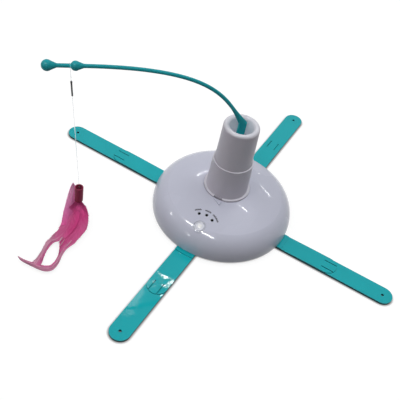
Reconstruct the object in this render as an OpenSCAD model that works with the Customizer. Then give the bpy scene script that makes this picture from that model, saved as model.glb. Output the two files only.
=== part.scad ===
// Rotating feather cat toy.
// A domed battery base stands on four clip-on legs. A geared motor turns the head of a short tower,
// and a curved wand in the head carries a feather lure on a thin line.
// Millimetres, +Z up. The origin is on the floor under the tower's axis.

/* [Base] */
// Radius of the dome at its widest point
base_r = 75; // [70:0.5:85]
// Height of the dome where the tower stands on it
dome_top_z = 39.5; // [38.5:0.5:42]
// Height of the dome's widest point
rim_z = 7.5; // [6:0.5:9]
// Radius of the arc that rounds the dome's edge
rim_arc_r = 26; // [20:0.5:28]
// Height of the dome's lower edge
dome_edge_z = 3.2; // [3:0.1:4]
// Wall of the dome
dome_wall = 2.2; // [1.6:0.1:2.8]
// Height of the base plate's underside
plate_z = 1.5; // [1.2:0.1:2]
// Thickness of the base plate
plate_t = 2.2; // [1.8:0.1:2.6]
// Radius of a rubber foot
foot_r = 6; // [4:0.5:7]
// Distance of the feet from the axis
foot_reach = 54; // [52:0.5:56]
// Distance of the housing screws from the axis
housing_screw_reach = 64; // [63:0.5:65]

/* [Tower] */
// Radius of the column's foot flange
flange_r = 24.4; // [23.5:0.1:26]
// Thickness of the foot flange
flange_t = 2; // [1.5:0.1:3]
// Radius of the column just above its flange
column_foot_r = 22.1; // [21.8:0.1:23]
// Radius of the column at its top
column_top_r = 21; // [20.4:0.1:21.5]
// Height of the column's top ledge
column_top_z = 77.6; // [75:0.2:82]
// Width of the bright ledge at the column's top
ledge_w = 1.4; // [1:0.1:1.7]
// Depth of the recess that the head stands in
recess_d = 5.5; // [4.5:0.1:7]
// Radius of the head at its rim
head_top_r = 18.3; // [17.6:0.1:19]
// Height of the head's rim
head_top_z = 123.2; // [118:0.2:128]
// Radius of the cup in the head at its mouth
cup_r = 12.2; // [11:0.1:13]
// Radius of the cup at its floor
cup_floor_r = 9.4; // [9:0.1:10.5]
// Depth of the cup
cup_depth = 24.4; // [20:0.2:28]
// Wall of the column, the head and the cup
tower_wall = 1.8; // [1.4:0.1:2.2]

/* [Wand] */
// Direction of the wand round the tower, in degrees from +X
wand_angle = 220; // [0:1:359]
// Width of the wand's flat root, in the plane of its bend
root_w = 8; // [6:0.2:10]
// Thickness of the flat root
root_t = 4; // [3.4:0.1:5]
// Diameter of the rod
rod_d = 3.7; // [3:0.1:4.4]
// Height at which the root starts to bend
bend_z = 125.5; // [124:0.5:131]
// Height of the straight tip above the floor
tip_z = 189; // [180:0.5:200]
// Distance of the inner ball from the tower's axis
inner_ball_reach = 161; // [150:0.5:175]
// Distance between the two balls
ball_pitch = 24; // [20:0.5:30]
// Diameter of the inner ball
inner_ball_d = 8.9; // [7:0.1:11]
// Diameter of the tip ball
tip_ball_d = 10.2; // [8:0.1:13]

/* [Legs] */
// Width of a leg
leg_w = 21; // [18:0.5:23]
// Thickness of a leg
leg_t = 2.4; // [2:0.1:2.7]
// Distance of the hole near a leg's tip from the tower's axis
leg_hole_reach = 192; // [180:0.5:210]
// Radius of that hole
leg_hole_r = 1.5; // [1:0.1:2.5]
// Distance of the lap's rounded end from the tower's axis
lap_reach = 139; // [130:0.5:150]
// Length of the lap
lap_length = 21; // [19:0.5:26]
// How far the lap's top stands above the leg
lap_rise = 0.6; // [0.3:0.1:0.9]
// Distance between the lap's two slits
slit_gap = 9.4; // [7:0.2:12]
// Length of the slits
slit_length = 15; // [11:0.5:17]
// Width of a slit
slit_w = 0.9; // [0.5:0.1:1.4]
// Distance of a leg's inner end from the tower's axis
leg_root_reach = 54; // [53.5:0.1:56]
// Radius of the peg that a leg clips on
leg_peg_r = 3; // [2:0.1:4]

/* [Controls] */
// Direction of the control panel, in degrees from +X
panel_angle = -87; // [-100:1:-80]
// Distance of the button from the axis
panel_r = 60.5; // [59.5:0.1:61.5]
// Slope of the dome under the button, in degrees
panel_tilt = 26; // [24:0.5:28]
// Diameter of the button
button_d = 11.4; // [9:0.1:13]
// Travel of the button
button_travel = 0.6; // [0.3:0.1:0.9]
// Diameter of an indicator light
led_d = 3; // [2:0.1:4]
// Distance of the lights from the button's centre
led_ring_r = 14.2; // [12.5:0.1:15]
// Angle between neighbouring lights round the button, in degrees
led_step = 32; // [25:1:40]
// Turn of the middle light away from the slope's line, in degrees
led_turn = 2; // [-10:1:10]
// Depth of the circuit board below the dome's skin
board_depth = 11; // [10:0.2:12]

/* [Drive] */
// Module of the gears
gear_module = 0.6; // [0.55:0.01:0.65]
// Teeth of the motor pinion and of the reduction gear's small wheel
pinion_teeth = 12; // [12:1:13]
// Teeth of the reduction gear's large wheel
idler_teeth = 42; // [38:1:44]
// Teeth of the output gear
output_teeth = 48; // [44:1:50]
// Width of the output gear
gear_w = 3; // [2:0.1:3.2]
// Diameter of the output shaft
shaft_d = 5; // [4:0.1:6]
// Diameter of the motor's can
motor_d = 24.4; // [20:0.1:25]
// Length of the motor's can
motor_l = 12.3; // [10:0.1:16]
// Diameter of the motor's shaft and of the idler's pin
pin_d = 2; // [1.5:0.1:2.6]
// Height of the gear plate's underside
gear_plate_z = 25.5; // [25:0.1:26.5]
// Thickness of the gear plate
gear_plate_t = 2; // [1.6:0.1:2.4]

/* [Battery] */
// Diameter of a battery cell
cell_d = 14.2; // [13.5:0.1:14.5]
// Length of a battery cell
cell_l = 50; // [44:0.5:51]
// Distance between neighbouring cells
cell_pitch = 15; // [14.8:0.1:15.2]
// Thickness of the battery door
door_t = 1.6; // [1.2:0.1:1.9]

/* [Lure] */
// Diameter of the line
line_d = 0.6; // [0.5:0.1:0.8]
// Diameter of the dark sleeve that closes the line's loop
crimp_d = 1.6; // [1.4:0.1:2]
// How far the ferrule hangs in from the neck of the wand
ferrule_lean = 12; // [5:0.1:16]
// How far the ferrule hangs beside the wand's plane
lure_y = 1; // [0:0.1:2]
// Height of the ferrule's open top
ferrule_top_z = 41; // [39:0.2:44]
// Diameter of the feather ferrule
ferrule_d = 8.8; // [7.4:0.1:9.6]
// Wall of the feather ferrule
ferrule_wall = 1; // [0.6:0.1:1.4]
// Half the thickness of a feather
feather_half_t = 0.5; // [0.3:0.1:0.7]

/* [Fits] */
// Gap between pieces that sit in one another
seat_gap = 0.1; // [0.05:0.01:0.15]
// Radial gap of a shaft in its bearing
run_gap = 0.05; // [0.02:0.01:0.1]
// Gap between pieces that move past one another
move_gap = 0.3; // [0.25:0.01:0.4]

/* [Hidden] */
$fn = 64;
eps = 0.01;
far = 400;

// Dome: a spherical crown through the tower's seat, which meets the arc that rounds the edge almost flush
crown_r0 = flange_r + 0.1;
rim_cx = base_r - rim_arc_r;
crown_sink = 0.05;
rim_t = rim_arc_r - crown_sink;
crown_p = (pow(rim_t, 2) + pow(crown_r0, 2) - pow(rim_cx, 2) + pow(dome_top_z, 2) - pow(rim_z, 2)) / (2 * rim_t);
crown_q = (dome_top_z - rim_z) / rim_t;
crown_a = crown_q * crown_q - 1;
crown_b = dome_top_z - crown_p * crown_q;
crown_c = pow(crown_p, 2) - pow(crown_r0, 2) - pow(dome_top_z, 2);
crown_z0 = (-crown_b - sqrt(crown_b * crown_b - crown_a * crown_c)) / crown_a;
crown_R = crown_p - crown_q * crown_z0;
crown_end = atan2(rim_cx, rim_z - crown_z0);
crown_end_r = crown_R * sin(crown_end);
plate_top = plate_z + plate_t;
rim_inner_r = rim_cx + sqrt(pow(rim_arc_r - dome_wall, 2) - pow(rim_z - dome_edge_z, 2));
plate_r = rim_inner_r - move_gap;
rim_wall_t = 2.2;
rim_wall_h = 3.8;
foot_sink = 0.5;
foot_angles = [45, 135, 225, 315];
screw_r = 1.15;
screw_head_r = 2.8;
screw_head_t = 1.6;
boss_wall = 2.2;
housing_screw_l = 11;
boss_r = screw_r + boss_wall;
boss_top = rim_z + sqrt(pow(rim_arc_r, 2) - pow(housing_screw_reach + boss_r - rim_cx, 2)) - 0.5;

// Tower
seat_z = dome_top_z - 0.8;
seat_groove = 0.6;
spigot_r = flange_r - 3.4;
spigot_h = 3.4;
dome_hole_r = spigot_r + move_gap;
lug_w = 2.2;
lug_t = 1.2;
lug_arc = 36;
lug_angles = [30, 150, 270];
dome_seat_t = 2;
notch_angles = [-97, -74];
column_foot_z = seat_z + flange_t;
column_wall = tower_wall;
recess_r = column_top_r - ledge_w;
web_t = 3;
web_z = column_top_z - recess_d - web_t;
bush_wall = 2;
bush_flange = 1.6;
bush_flange_t = 1;
shaft_r = shaft_d / 2;
head_foot_z = web_z + web_t + bush_flange_t + 1;
head_foot_r = recess_r - move_gap;
rim_round_r = (head_top_r - cup_r) / 2;
rim_round_z = head_top_z - rim_round_r;
cup_floor_z = head_top_z - cup_depth;
cup_floor_t = 2.6;
hub_r = shaft_r + 3.4;
head_rib_t = 1.4;
head_ribs = 6;
socket_h = 9;
socket_wall = 2;
root_bottom_z = cup_floor_z + 1;
shaft_top_z = cup_floor_z - cup_floor_t + 1.6;
shaft_flat = 0.6;

// Wand: a cubic curve from the root to the straight tip, in the plane of its bend
tip_start = inner_ball_reach - 8;
wand_curve = [[0, bend_z], [23, bend_z + 31], [36, tip_z], [tip_start, tip_z]];
wand_steps = 40;
rod_r = rod_d / 2;
tip_rod_r = rod_r + 0.04;
root_corner = 1.2;
loop_reach = inner_ball_reach + inner_ball_d / 2 + 0.2;

// Legs
leg_names = ["right", "back", "left", "front"];
leg_angles = [0, 90, 180, 270];
leg_root_t = dome_edge_z - 0.2;
collar_reach = base_r + 4.5;
channel_roof_t = 2.2;
channel_wall = 2;
leg_end_r = leg_w / 2;
lap_floor_t = leg_t / 2;
lap_start = lap_reach - lap_length;
barb_w = 5;
barb_l = 2.4;

// Control panel: local z is the outward normal at the button, x runs down the slope, the skin is at 0
panel_z = skin_z(panel_r);
board_top = -board_depth;
board_t = 1.6;
board_x = [-21, 11];
board_w = 30;
board_posts = [[-17.5, -11.5], [-17.5, 11.5], [7.5, -11.5], [7.5, 11.5]];
board_post_r = 2.6;
board_screw_r = 0.9;
led_angles = [led_turn - led_step, led_turn, led_turn + led_step];
button_r = button_d / 2;
button_hole_r = button_r + move_gap;
button_flange_r = button_r + 1.2;
button_flange_t = 1;
button_flange_top = panel_skin(button_flange_r, 0) - dome_wall - 0.5;
button_proud = 0.2;
button_edge = 0.4;
collar_w = 1;
collar_top = -0.25;
button_floor = button_proud - 0.55;
button_ring_r = button_r - 1.15;
button_ring_t = 0.65;
button_middle_r = button_r * 0.5;
button_middle_R = 7;
plunger_r = 1.7;
switch_w = 6;
switch_h = 3.5;
plunger_top = button_flange_top - button_flange_t - 1.2;
plunger_bottom = board_top + 1 + button_travel + 0.2;

// Gear train: output gear on the axis, reduction gear beside it, motor beyond
pressure_angle = 25;
tooth_play = 0.15;
output_pitch_r = gear_module * output_teeth / 2;
idler_pitch_r = gear_module * idler_teeth / 2;
pinion_pitch_r = gear_module * pinion_teeth / 2;
idler_angle = 180;
motor_angle = 120;
idler_reach = output_pitch_r + pinion_pitch_r;
motor_reach = idler_pitch_r + pinion_pitch_r;
idler_pos = idler_reach * [cos(idler_angle), sin(idler_angle)];
motor_pos = idler_pos + motor_reach * [cos(motor_angle), sin(motor_angle)];
pin_r = pin_d / 2;
gear_plate_top = gear_plate_z + gear_plate_t;
gear_z = gear_plate_top + 0.8;
idler_z = gear_z + gear_w + 0.5;
idler_w = 2.2;
idler_top = idler_z + idler_w;
pinion_w = idler_w + 0.8;
output_hub_r = idler_reach - idler_pitch_r - gear_module - move_gap;
plate_screw_l = 8;
pin_head_r = pin_r + 0.8;
pin_head_t = 0.5;
shaft_bottom_z = gear_plate_z - 2;
tower_posts = [[-8, -27], [-46, 2], [-10, 34]];
post_r = 3.6;
lug_r = 6;
motor_boss_r = 3;
motor_boss_h = 1.4;

// Battery bay
cell_r = cell_d / 2;
cell_x = [12, 12 + cell_pitch, 12 + 2 * cell_pitch];
bay_cx = cell_x[1];
bay_w = 2 * cell_pitch + cell_d + 1;
contact_room = 3.2;
bay_l = cell_l + 2 * contact_room;
bay_wall = 1.6;
bay_roof_t = 1.5;
door_z = plate_z;
door_top = door_z + door_t;
cell_z = door_top + 0.4 + cell_r;
bay_top = cell_z + cell_r + 0.4;
door_ledge = 1.6;
door_w = bay_w + 2 * door_ledge;
door_l = bay_l + 2 * door_ledge;
door_screw_y = -door_l / 2 - 2;
door_lug_r = 5.2;
grip_count = 5;
contact_t = 0.4;
contact_w = 8;

// Lure: the line runs straight from the wand's neck to the ferrule, and leans a little
line_r = line_d / 2;
loop_r = tip_rod_r + 0.15 + line_r;
loop_drop = 17.6;
strand_y = line_r + 0.05;
eye_r = crimp_d / 2 + 0.15;
eye_w = crimp_d + 0.4;
crimp_l = 14.95;
ferrule_r = ferrule_d / 2;
ferrule_bottom_z = 22.6;
quill_top_z = 34;
lure_x = loop_reach - ferrule_lean;
line_fall = tip_z - ferrule_top_z;
line_lean = atan2(ferrule_lean, line_fall);
line_roll = atan2(lure_y, line_fall);
line_end = (tip_z - quill_top_z) / cos(line_lean);
line_route = [0, 6, 13, 21, 29, 37, 45, 53, 61, 69, 77, 85, 93, 101, 108, 114, 118, 122];

// Feather stations: place from the ferrule's axis, half width, direction of the width in degrees
plume_body = [
    [0, 0, 24.5, 2, 0], [0.3, 1.2, 19, 4.9, 0], [0.9, 3.4, 14.4, 9.3, 0], [2.4, 9, 9.6, 13, 0], [4.6, 18, 6.8, 14.5, 0],
    [7.6, 26, 5.4, 15.2, 0], [13.8, 34, 4.8, 14.6, -12], [15.8, 38.5, 4.6, 13.4, -12]
];
plume_left = [
    [22.8, 34, 4.8, 6.5, -18], [29.7, 40.2, 4.6, 4, -14], [34.8, 49.2, 4.5, 2.8, -3],
    [39.1, 58.4, 4.4, 3.5, 3], [42.7, 65, 4.4, 5, -10], [45.2, 68.5, 4.4, 4, -30]
];
plume_right = [
    [13, 38, 4.7, 9, -8], [13.4, 43.5, 4.6, 8, -2], [17.6, 51, 4.5, 4, 10], [20.4, 57.5, 4.4, 2.3, -2],
    [24.2, 66, 4.4, 2.5, -26], [28.8, 71.6, 4.4, 3.1, -52], [33, 72.8, 4.4, 3.5, -85],
    [38.4, 71.4, 4.4, 3.2, -118], [48.4, 66, 4.4, 2.2, -122], [56.4, 61, 4.4, 1.5, -128], [60.2, 56.8, 4.4, 0.5, -138]
];
wisp_body = [
    [13.4, 20, 6.2, 5.2, 0], [11.8, 13.6, 7.5, 5.8, 0], [9.6, 6.4, 11.6, 6.2, 0], [7.9, 1.2, 15.4, 6.2, 0], [6.6, -4.4, 19, 5.2, 0],
    [5.7, -5.9, 25, 4.4, 0], [5.2, -5.9, 33.4, 3.3, 0], [5.6, -5.7, 38.4, 1.6, 0], [5.8, -5.6, 41.4, 0.4, 0]
];

// Height of the dome's skin at a distance from the axis
function crown_skin(r) = crown_z0 + sqrt(crown_R * crown_R - r * r);
function rim_skin(r) = rim_z + sqrt(rim_arc_r * rim_arc_r - pow(r - rim_cx, 2));
function skin_z(r) = r < crown_end_r ? crown_skin(r) : min(crown_skin(r), rim_skin(r));
// Place of the dome's skin along the panel's normal, at a place on the panel
function panel_gap(x, y, z) =
    skin_z(norm([panel_r + x * cos(panel_tilt) + z * sin(panel_tilt), y]))
    - panel_z + x * sin(panel_tilt) - z * cos(panel_tilt);
function panel_skin(x, y, z = 0, steps = 12) =
    steps == 0 ? z : panel_skin(x, y, z + panel_gap(x, y, z) * cos(panel_tilt), steps - 1);
// Height at which a circuit board post ends inside the dome's wall
function post_top(p) = min([
    for (i = [-1, 1])
        for (j = [-1, 1])
            panel_skin(p[0] + i * board_post_r, p[1] + j * board_post_r)
]) - 0.7;
// Place of an indicator light on the panel
function led_place(a) = led_ring_r * [-cos(a), sin(a)];
// Point on a cubic curve
function cubic(p, t) =
    pow(1 - t, 3) * p[0] + 3 * pow(1 - t, 2) * t * p[1] + 3 * (1 - t) * t * t * p[2] + pow(t, 3) * p[3];
function unit(v) = v / norm(v);
// Direction of a path at one of its points
function heading(path, i) = unit(path[min(i + 1, len(path) - 1)] - path[max(i - 1, 0)]);
// Half the angle of a tooth at a radius, for a gear with straight-sided generating rack
function involute(a) = tan(a) * 180 / PI - a;
function half_tooth(teeth, r) =
    let (pitch_r = gear_module * teeth / 2)
    let (base = pitch_r * cos(pressure_angle))
    90 / teeth - tooth_play / (2 * pitch_r) * 180 / PI + involute(pressure_angle)
    - (r > base ? involute(acos(base / r)) : 0);
// Radii at which a tooth's flank has points, from its root to its tip
function flank_radii(teeth) =
    let (pitch_r = gear_module * teeth / 2)
    [pitch_r - 1.25 * gear_module, pitch_r - 0.55 * gear_module, pitch_r + 0.2 * gear_module, pitch_r + 0.95 * gear_module];
function polar(r, a) = [r * cos(a), r * sin(a)];

// Outline of a spur gear with a tooth on +X
module gear_outline(teeth) {
    radii = flank_radii(teeth);
    polygon([
        for (i = [0 : teeth - 1])
            for (k = [-1, 1])
                for (j = [0 : 3])
                    let (r = radii[k < 0 ? j : 3 - j])
                    polar(r, i * 360 / teeth + k * half_tooth(teeth, r))
    ]);
}

// Closed tube through a list of rings that all have the same number of points
module skin(rings) {
    n = len(rings[0]);
    last = len(rings) - 1;
    sides = [
        for (i = [0 : last - 1])
            for (j = [0 : n - 1])
                let (a = i * n + j)
                let (b = i * n + (j + 1) % n)
                each [[a, a + n, b], [b, a + n, b + n]]
    ];
    start_cap = [for (j = [1 : n - 2]) [0, j, j + 1]];
    end_cap = [for (j = [1 : n - 2]) [last * n, last * n + j + 1, last * n + j]];
    polyhedron([for (ring = rings) each ring], concat(start_cap, sides, end_cap));
}

// Tube along a path. wide and deep are its half sizes in the plane of the path and across it
module tube(path, wide, deep, across, sides) {
    skin([
        for (i = [0 : len(path) - 1])
            let (side = unit(cross(across, heading(path, i))))
            [for (j = [0 : sides - 1])
                path[i] + wide[i] * cos(j * 360 / sides) * side + deep[i] * sin(j * 360 / sides) * across]
    ]);
}

// Thin feather blade along its stations, thickest in the middle
module blade(stations) {
    path = [for (s = stations) [s[0], s[1], s[2]]];
    skin([
        for (i = [0 : len(stations) - 1])
            let (w = [cos(stations[i][4]), sin(stations[i][4]), 0])
            let (n = unit(cross(heading(path, i), w)))
            let (h = stations[i][3])
            let (t = min(feather_half_t, h))
            [for (c = [[-1, 0], [-0.5, -1], [0.5, -1], [1, 0], [0.5, 1], [-0.5, 1]]) path[i] + c[0] * h * w + c[1] * t * n]
    ]);
}

// Rectangle with round corners, centred
module round_rect(w, l, r) {
    square([w - 2 * r, l], center = true);
    square([w, l - 2 * r], center = true);
    for (x = [-1, 1])
        for (y = [-1, 1])
            translate([x * (w / 2 - r), y * (l / 2 - r)]) circle(r = r);
}

module at_panel() {
    rotate([0, 0, panel_angle]) translate([panel_r, 0, panel_z]) rotate([0, panel_tilt, 0]) children();
}

module at_wand() {
    rotate([0, 0, wand_angle]) children();
}

module at_lure() {
    at_wand() translate([lure_x, lure_y, 0]) children();
}

// Down the line: the neck's centre is at 0, and the line runs along -Z
module at_line() {
    at_wand() translate([loop_reach, 0, tip_z]) rotate([line_roll, line_lean, 0]) children();
}

// Self-tapping screw with its head at the bottom
module pan_screw(r, length, head_r, head_t) {
    difference() {
        cylinder(r = head_r, h = head_t);
        for (a = [0, 90])
            rotate([0, 0, a]) translate([0, 0, head_t / 4 - eps]) cube([head_r * 1.1, 0.7, head_t / 2], center = true);
    }
    translate([0, 0, head_t - eps]) cylinder(r = r, h = length + eps);
}

// Half section of the solid dome, moved in from its skin
module dome_section(inset) {
    crown_dir = [sin(crown_end), cos(crown_end)];
    crown_at = [0, crown_z0];
    rim_at = [rim_cx, rim_z];
    intersection() {
        translate(crown_at) circle(r = crown_R - inset, $fn = 256);
        union() {
            translate(rim_at) circle(r = rim_arc_r - inset, $fn = 128);
            polygon([[0, -far], [0, far], rim_at + far * crown_dir, rim_at, [rim_cx, -far]]);
        }
        translate([0, dome_edge_z]) square([far, far]);
    }
}

// Half section of the dome's wall, with a thicker seat for the tower
module dome_wall_section() {
    difference() {
        dome_section(0);
        difference() {
            translate([0, -eps]) dome_section(dome_wall);
            translate([0, seat_z - dome_seat_t]) square([flange_r + 2.4, far]);
        }
        translate([0, seat_z]) square([flange_r + seat_groove, far]);
        translate([0, -far / 2]) square([dome_hole_r, far]);
    }
}

module upper_dome() color([0.74, 0.75, 0.81])
    difference() {
        union() {
            rotate_extrude() dome_wall_section();
            for (a = foot_angles)
                rotate([0, 0, a]) translate([housing_screw_reach, 0, plate_top + seat_gap])
                    cylinder(r = boss_r, h = boss_top - plate_top - seat_gap);
            key_mark();
            at_panel() {
                translate([0, 0, -dome_wall]) cylinder(r = button_hole_r + collar_w, h = dome_wall + collar_top);
                for (p = board_posts)
                    translate([p[0], p[1], board_top]) cylinder(r = board_post_r, h = post_top(p) - board_top);
            }
        }
        for (a = lug_angles)
            rotate([0, 0, a - lug_arc / 2])
                translate([0, 0, seat_z - dome_seat_t - 1]) rotate_extrude(angle = lug_arc)
                    translate([spigot_r - 3, 0]) square([lug_w + move_gap + 3, dome_seat_t + 2]);
        for (a = foot_angles)
            rotate([0, 0, a]) translate([housing_screw_reach, 0, 0])
                cylinder(r = screw_r + 0.05, h = plate_top + housing_screw_l + 1);
        at_panel() {
            translate([0, 0, -dome_wall - 4]) cylinder(r = button_hole_r, h = dome_wall + 8);
            for (a = led_angles)
                translate([led_place(a)[0], led_place(a)[1], -dome_wall - 5]) cylinder(r = led_d / 2 + seat_gap, h = dome_wall + 10);
            for (p = board_posts)
                translate([p[0], p[1], board_top - 1]) cylinder(r = board_screw_r + 0.05, h = 5);
        }
    }

// Low triangular mark that shows where the tower's notch locks
module key_mark() {
    translate([0, 0, dome_top_z - 1])
        linear_extrude(1.5)
            polygon([polar(flange_r + 0.8, notch_angles[0]), polar(flange_r + 7, notch_angles[1] - 2), polar(flange_r + 2.6, notch_angles[1])]);
}

module base_plate() color([0.7, 0.71, 0.76]) {
    difference() {
        union() {
            translate([0, 0, plate_z]) cylinder(r = plate_r, h = plate_t);
            translate([0, 0, plate_top - eps])
                difference() {
                    cylinder(r = plate_r - move_gap, h = rim_wall_h);
                    translate([0, 0, -1]) cylinder(r = plate_r - move_gap - rim_wall_t, h = far);
                    for (a = foot_angles)
                        rotate([0, 0, a]) translate([housing_screw_reach, 0, -1])
                            cylinder(r = boss_r + move_gap, h = far);
                }
            translate([bay_cx, 0, plate_z])
                linear_extrude(bay_top + bay_roof_t - plate_z)
                    square([bay_w + 2 * bay_wall, bay_l + 2 * bay_wall], center = true);
            translate([bay_cx, door_screw_y, plate_z]) cylinder(r = screw_r + boss_wall, h = 12);
            for (p = tower_posts)
                translate([p[0], p[1], plate_z]) cylinder(r = post_r, h = gear_plate_z - plate_z);
            for (a = leg_angles)
                rotate([0, 0, a]) leg_channel();
        }
        translate([bay_cx, 0, door_top]) linear_extrude(bay_top - door_top) square([bay_w, bay_l], center = true);
        translate([bay_cx, 0, 0]) linear_extrude(door_top) door_outline(seat_gap);
        translate([bay_cx, door_screw_y, 0]) cylinder(r = screw_r + 0.05, h = plate_z + 11);
        for (a = leg_angles)
            rotate([0, 0, a]) leg_channel_space();
        for (p = tower_posts)
            translate([p[0], p[1], gear_plate_z - 9]) cylinder(r = screw_r + 0.05, h = far);
        for (a = foot_angles)
            rotate([0, 0, a]) {
                translate([foot_reach, 0, 0]) cylinder(r = foot_r + seat_gap, h = plate_z + foot_sink);
                translate([housing_screw_reach, 0, 0]) cylinder(r = screw_r + 0.3, h = far);
                translate([housing_screw_reach, 0, 0]) cylinder(r = screw_head_r + 0.3, h = plate_z + screw_head_t - 0.6);
            }
    }
    for (a = leg_angles)
        rotate([0, 0, a]) translate([leg_root_reach + 6.5, 0, 0.6]) cylinder(r = leg_peg_r, h = dome_edge_z - 0.6 + eps);
}

// Raised roof and sides of the channel that a leg's root slides into
module leg_channel() {
    length = plate_r - move_gap - rim_wall_t / 2 - leg_root_reach + 2 * channel_wall;
    translate([leg_root_reach - 2 * channel_wall, -leg_w / 2 - channel_wall, plate_z])
        cube([length, leg_w + 2 * channel_wall, dome_edge_z + channel_roof_t - plate_z]);
}

module leg_channel_space() {
    translate([leg_root_reach - move_gap, -leg_w / 2 - seat_gap, -1]) cube([far, leg_w + 2 * seat_gap, dome_edge_z + 1]);
}

module door_outline(gap) {
    offset_w = door_w + 2 * gap;
    round_rect(offset_w, door_l + 2 * gap, 2 + gap);
    translate([0, door_screw_y]) circle(r = door_lug_r + gap);
}

module battery_door() color([0.7, 0.71, 0.76]) {
    difference() {
        translate([bay_cx, 0, door_z]) linear_extrude(door_t - 0.1) door_outline(0);
        translate([bay_cx, door_screw_y, 0]) {
            cylinder(r = screw_r + 0.2, h = far);
            cylinder(r = screw_head_r + 0.2, h = door_z + 0.6);
        }
        for (i = [0 : grip_count - 1])
            translate([bay_cx, door_l / 2 - 8 - 3 * i, door_z]) cube([18, 1.2, 0.8], center = true);
    }
}

module door_screw() color([0.6, 0.6, 0.62])
    translate([bay_cx, door_screw_y, door_z + 0.6 - screw_head_t]) pan_screw(screw_r, 10, screw_head_r, screw_head_t);

module housing_screws() color([0.6, 0.6, 0.62])
    for (a = foot_angles)
        rotate([0, 0, a]) translate([housing_screw_reach, 0, plate_z - 0.6])
            pan_screw(screw_r, housing_screw_l, screw_head_r, screw_head_t);

module rubber_feet() color([0.2, 0.2, 0.21])
    for (a = foot_angles)
        rotate([0, 0, a]) translate([foot_reach, 0, 0])
            rotate_extrude() {
                square([foot_r - 0.6, plate_z + foot_sink]);
                translate([0, 0.6]) square([foot_r, plate_z + foot_sink - 0.6]);
                translate([foot_r - 0.6, 0.6]) circle(r = 0.6, $fn = 32);
            }

// One cell along Y with its raised contact, turned about for every other cell
module battery_cell(i) color([0.25, 0.45, 0.3])
    translate([cell_x[i], 0, cell_z]) rotate([i % 2 == 0 ? -90 : 90, 0, 0]) {
        translate([0, 0, -cell_l / 2]) cylinder(r = cell_r, h = cell_l - 1.4);
        translate([0, 0, cell_l / 2 - 1.4 - eps]) cylinder(r = 2.6, h = 1.4 + eps);
    }

// Bent spring strips at both ends of the cells
module battery_contacts() color([0.8, 0.78, 0.7])
    for (x = cell_x)
        for (end = [-1, 1])
            translate([x - contact_w / 2, 0, cell_z])
                rotate([90, 0, 90])
                    linear_extrude(contact_w)
                        scale([end, 1])
                            polygon([
                                [bay_l / 2, -6], [bay_l / 2, 6], [bay_l / 2 - contact_t, 6],
                                [cell_l / 2 + 0.1, 1], [cell_l / 2 + 0.1, -1], [bay_l / 2 - 1.2, -5],
                                [bay_l / 2 - 1, -4.4], [cell_l / 2 + 0.1 + contact_t, -0.9],
                                [cell_l / 2 + 0.1 + contact_t, 0.9], [bay_l / 2 - contact_t, 4.8], [bay_l / 2 - contact_t, -6]
                            ]);

module circuit_board() color([0.15, 0.4, 0.22])
    at_panel() {
        difference() {
            translate([board_x[0], -board_w / 2, board_top - board_t]) cube([board_x[1] - board_x[0], board_w, board_t]);
            for (p = board_posts)
                translate([p[0], p[1], board_top - board_t - 1]) cylinder(r = board_screw_r + 0.15, h = board_t + 2);
        }
        translate([-9, -4, board_top - board_t - 1.4]) cube([10, 8, 1.4 + eps]);
    }

module board_screws() color([0.6, 0.6, 0.62])
    at_panel()
        for (p = board_posts)
            translate([p[0], p[1], board_top - board_t - 1.2]) pan_screw(board_screw_r, board_t + 3.6, 1.9, 1.2);

module indicator_leds() color([0.12, 0.1, 0.12])
    at_panel()
        for (a = led_angles) {
            p = led_place(a);
            tip = panel_skin(p[0], p[1]) + 0.2;
            translate([p[0], p[1], board_top]) {
                cylinder(r = led_d / 2, h = tip - led_d / 2 - board_top);
                cylinder(r = led_d / 2 + 0.4, h = 1);
            }
            translate([p[0], p[1], tip - led_d / 2]) sphere(r = led_d / 2);
        }

module tact_switch() color([0.15, 0.15, 0.16])
    at_panel()
        difference() {
            translate([-switch_w / 2, -switch_w / 2, board_top]) cube([switch_w, switch_w, switch_h]);
            translate([0, 0, board_top + 1]) cylinder(r = plunger_r + move_gap, h = far);
        }

module switch_plunger() color([0.15, 0.15, 0.16])
    at_panel() translate([0, 0, plunger_bottom]) cylinder(r = plunger_r, h = plunger_top - plunger_bottom);

// Cap with a raised round ring and a domed middle, a flange under the skin and a short stem
module push_button() color([0.86, 0.86, 0.9])
    at_panel()
        rotate_extrude() {
            translate([0, plunger_top]) square([plunger_r, button_flange_top - plunger_top]);
            translate([0, button_flange_top - button_flange_t]) square([button_flange_r, button_flange_t]);
            translate([0, button_flange_top - eps]) square([button_r, button_floor - button_edge - button_flange_top + eps]);
            translate([0, button_floor - button_edge - eps]) square([button_r - button_edge, button_edge + eps]);
            translate([button_r - button_edge, button_floor - button_edge]) circle(r = button_edge, $fn = 32);
            translate([button_ring_r, button_proud - button_ring_t]) circle(r = button_ring_t, $fn = 32);
            intersection() {
                translate([0, button_proud - button_middle_R]) circle(r = button_middle_R, $fn = 128);
                translate([0, button_floor - 0.4]) square([button_middle_r, 2]);
            }
        }

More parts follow.
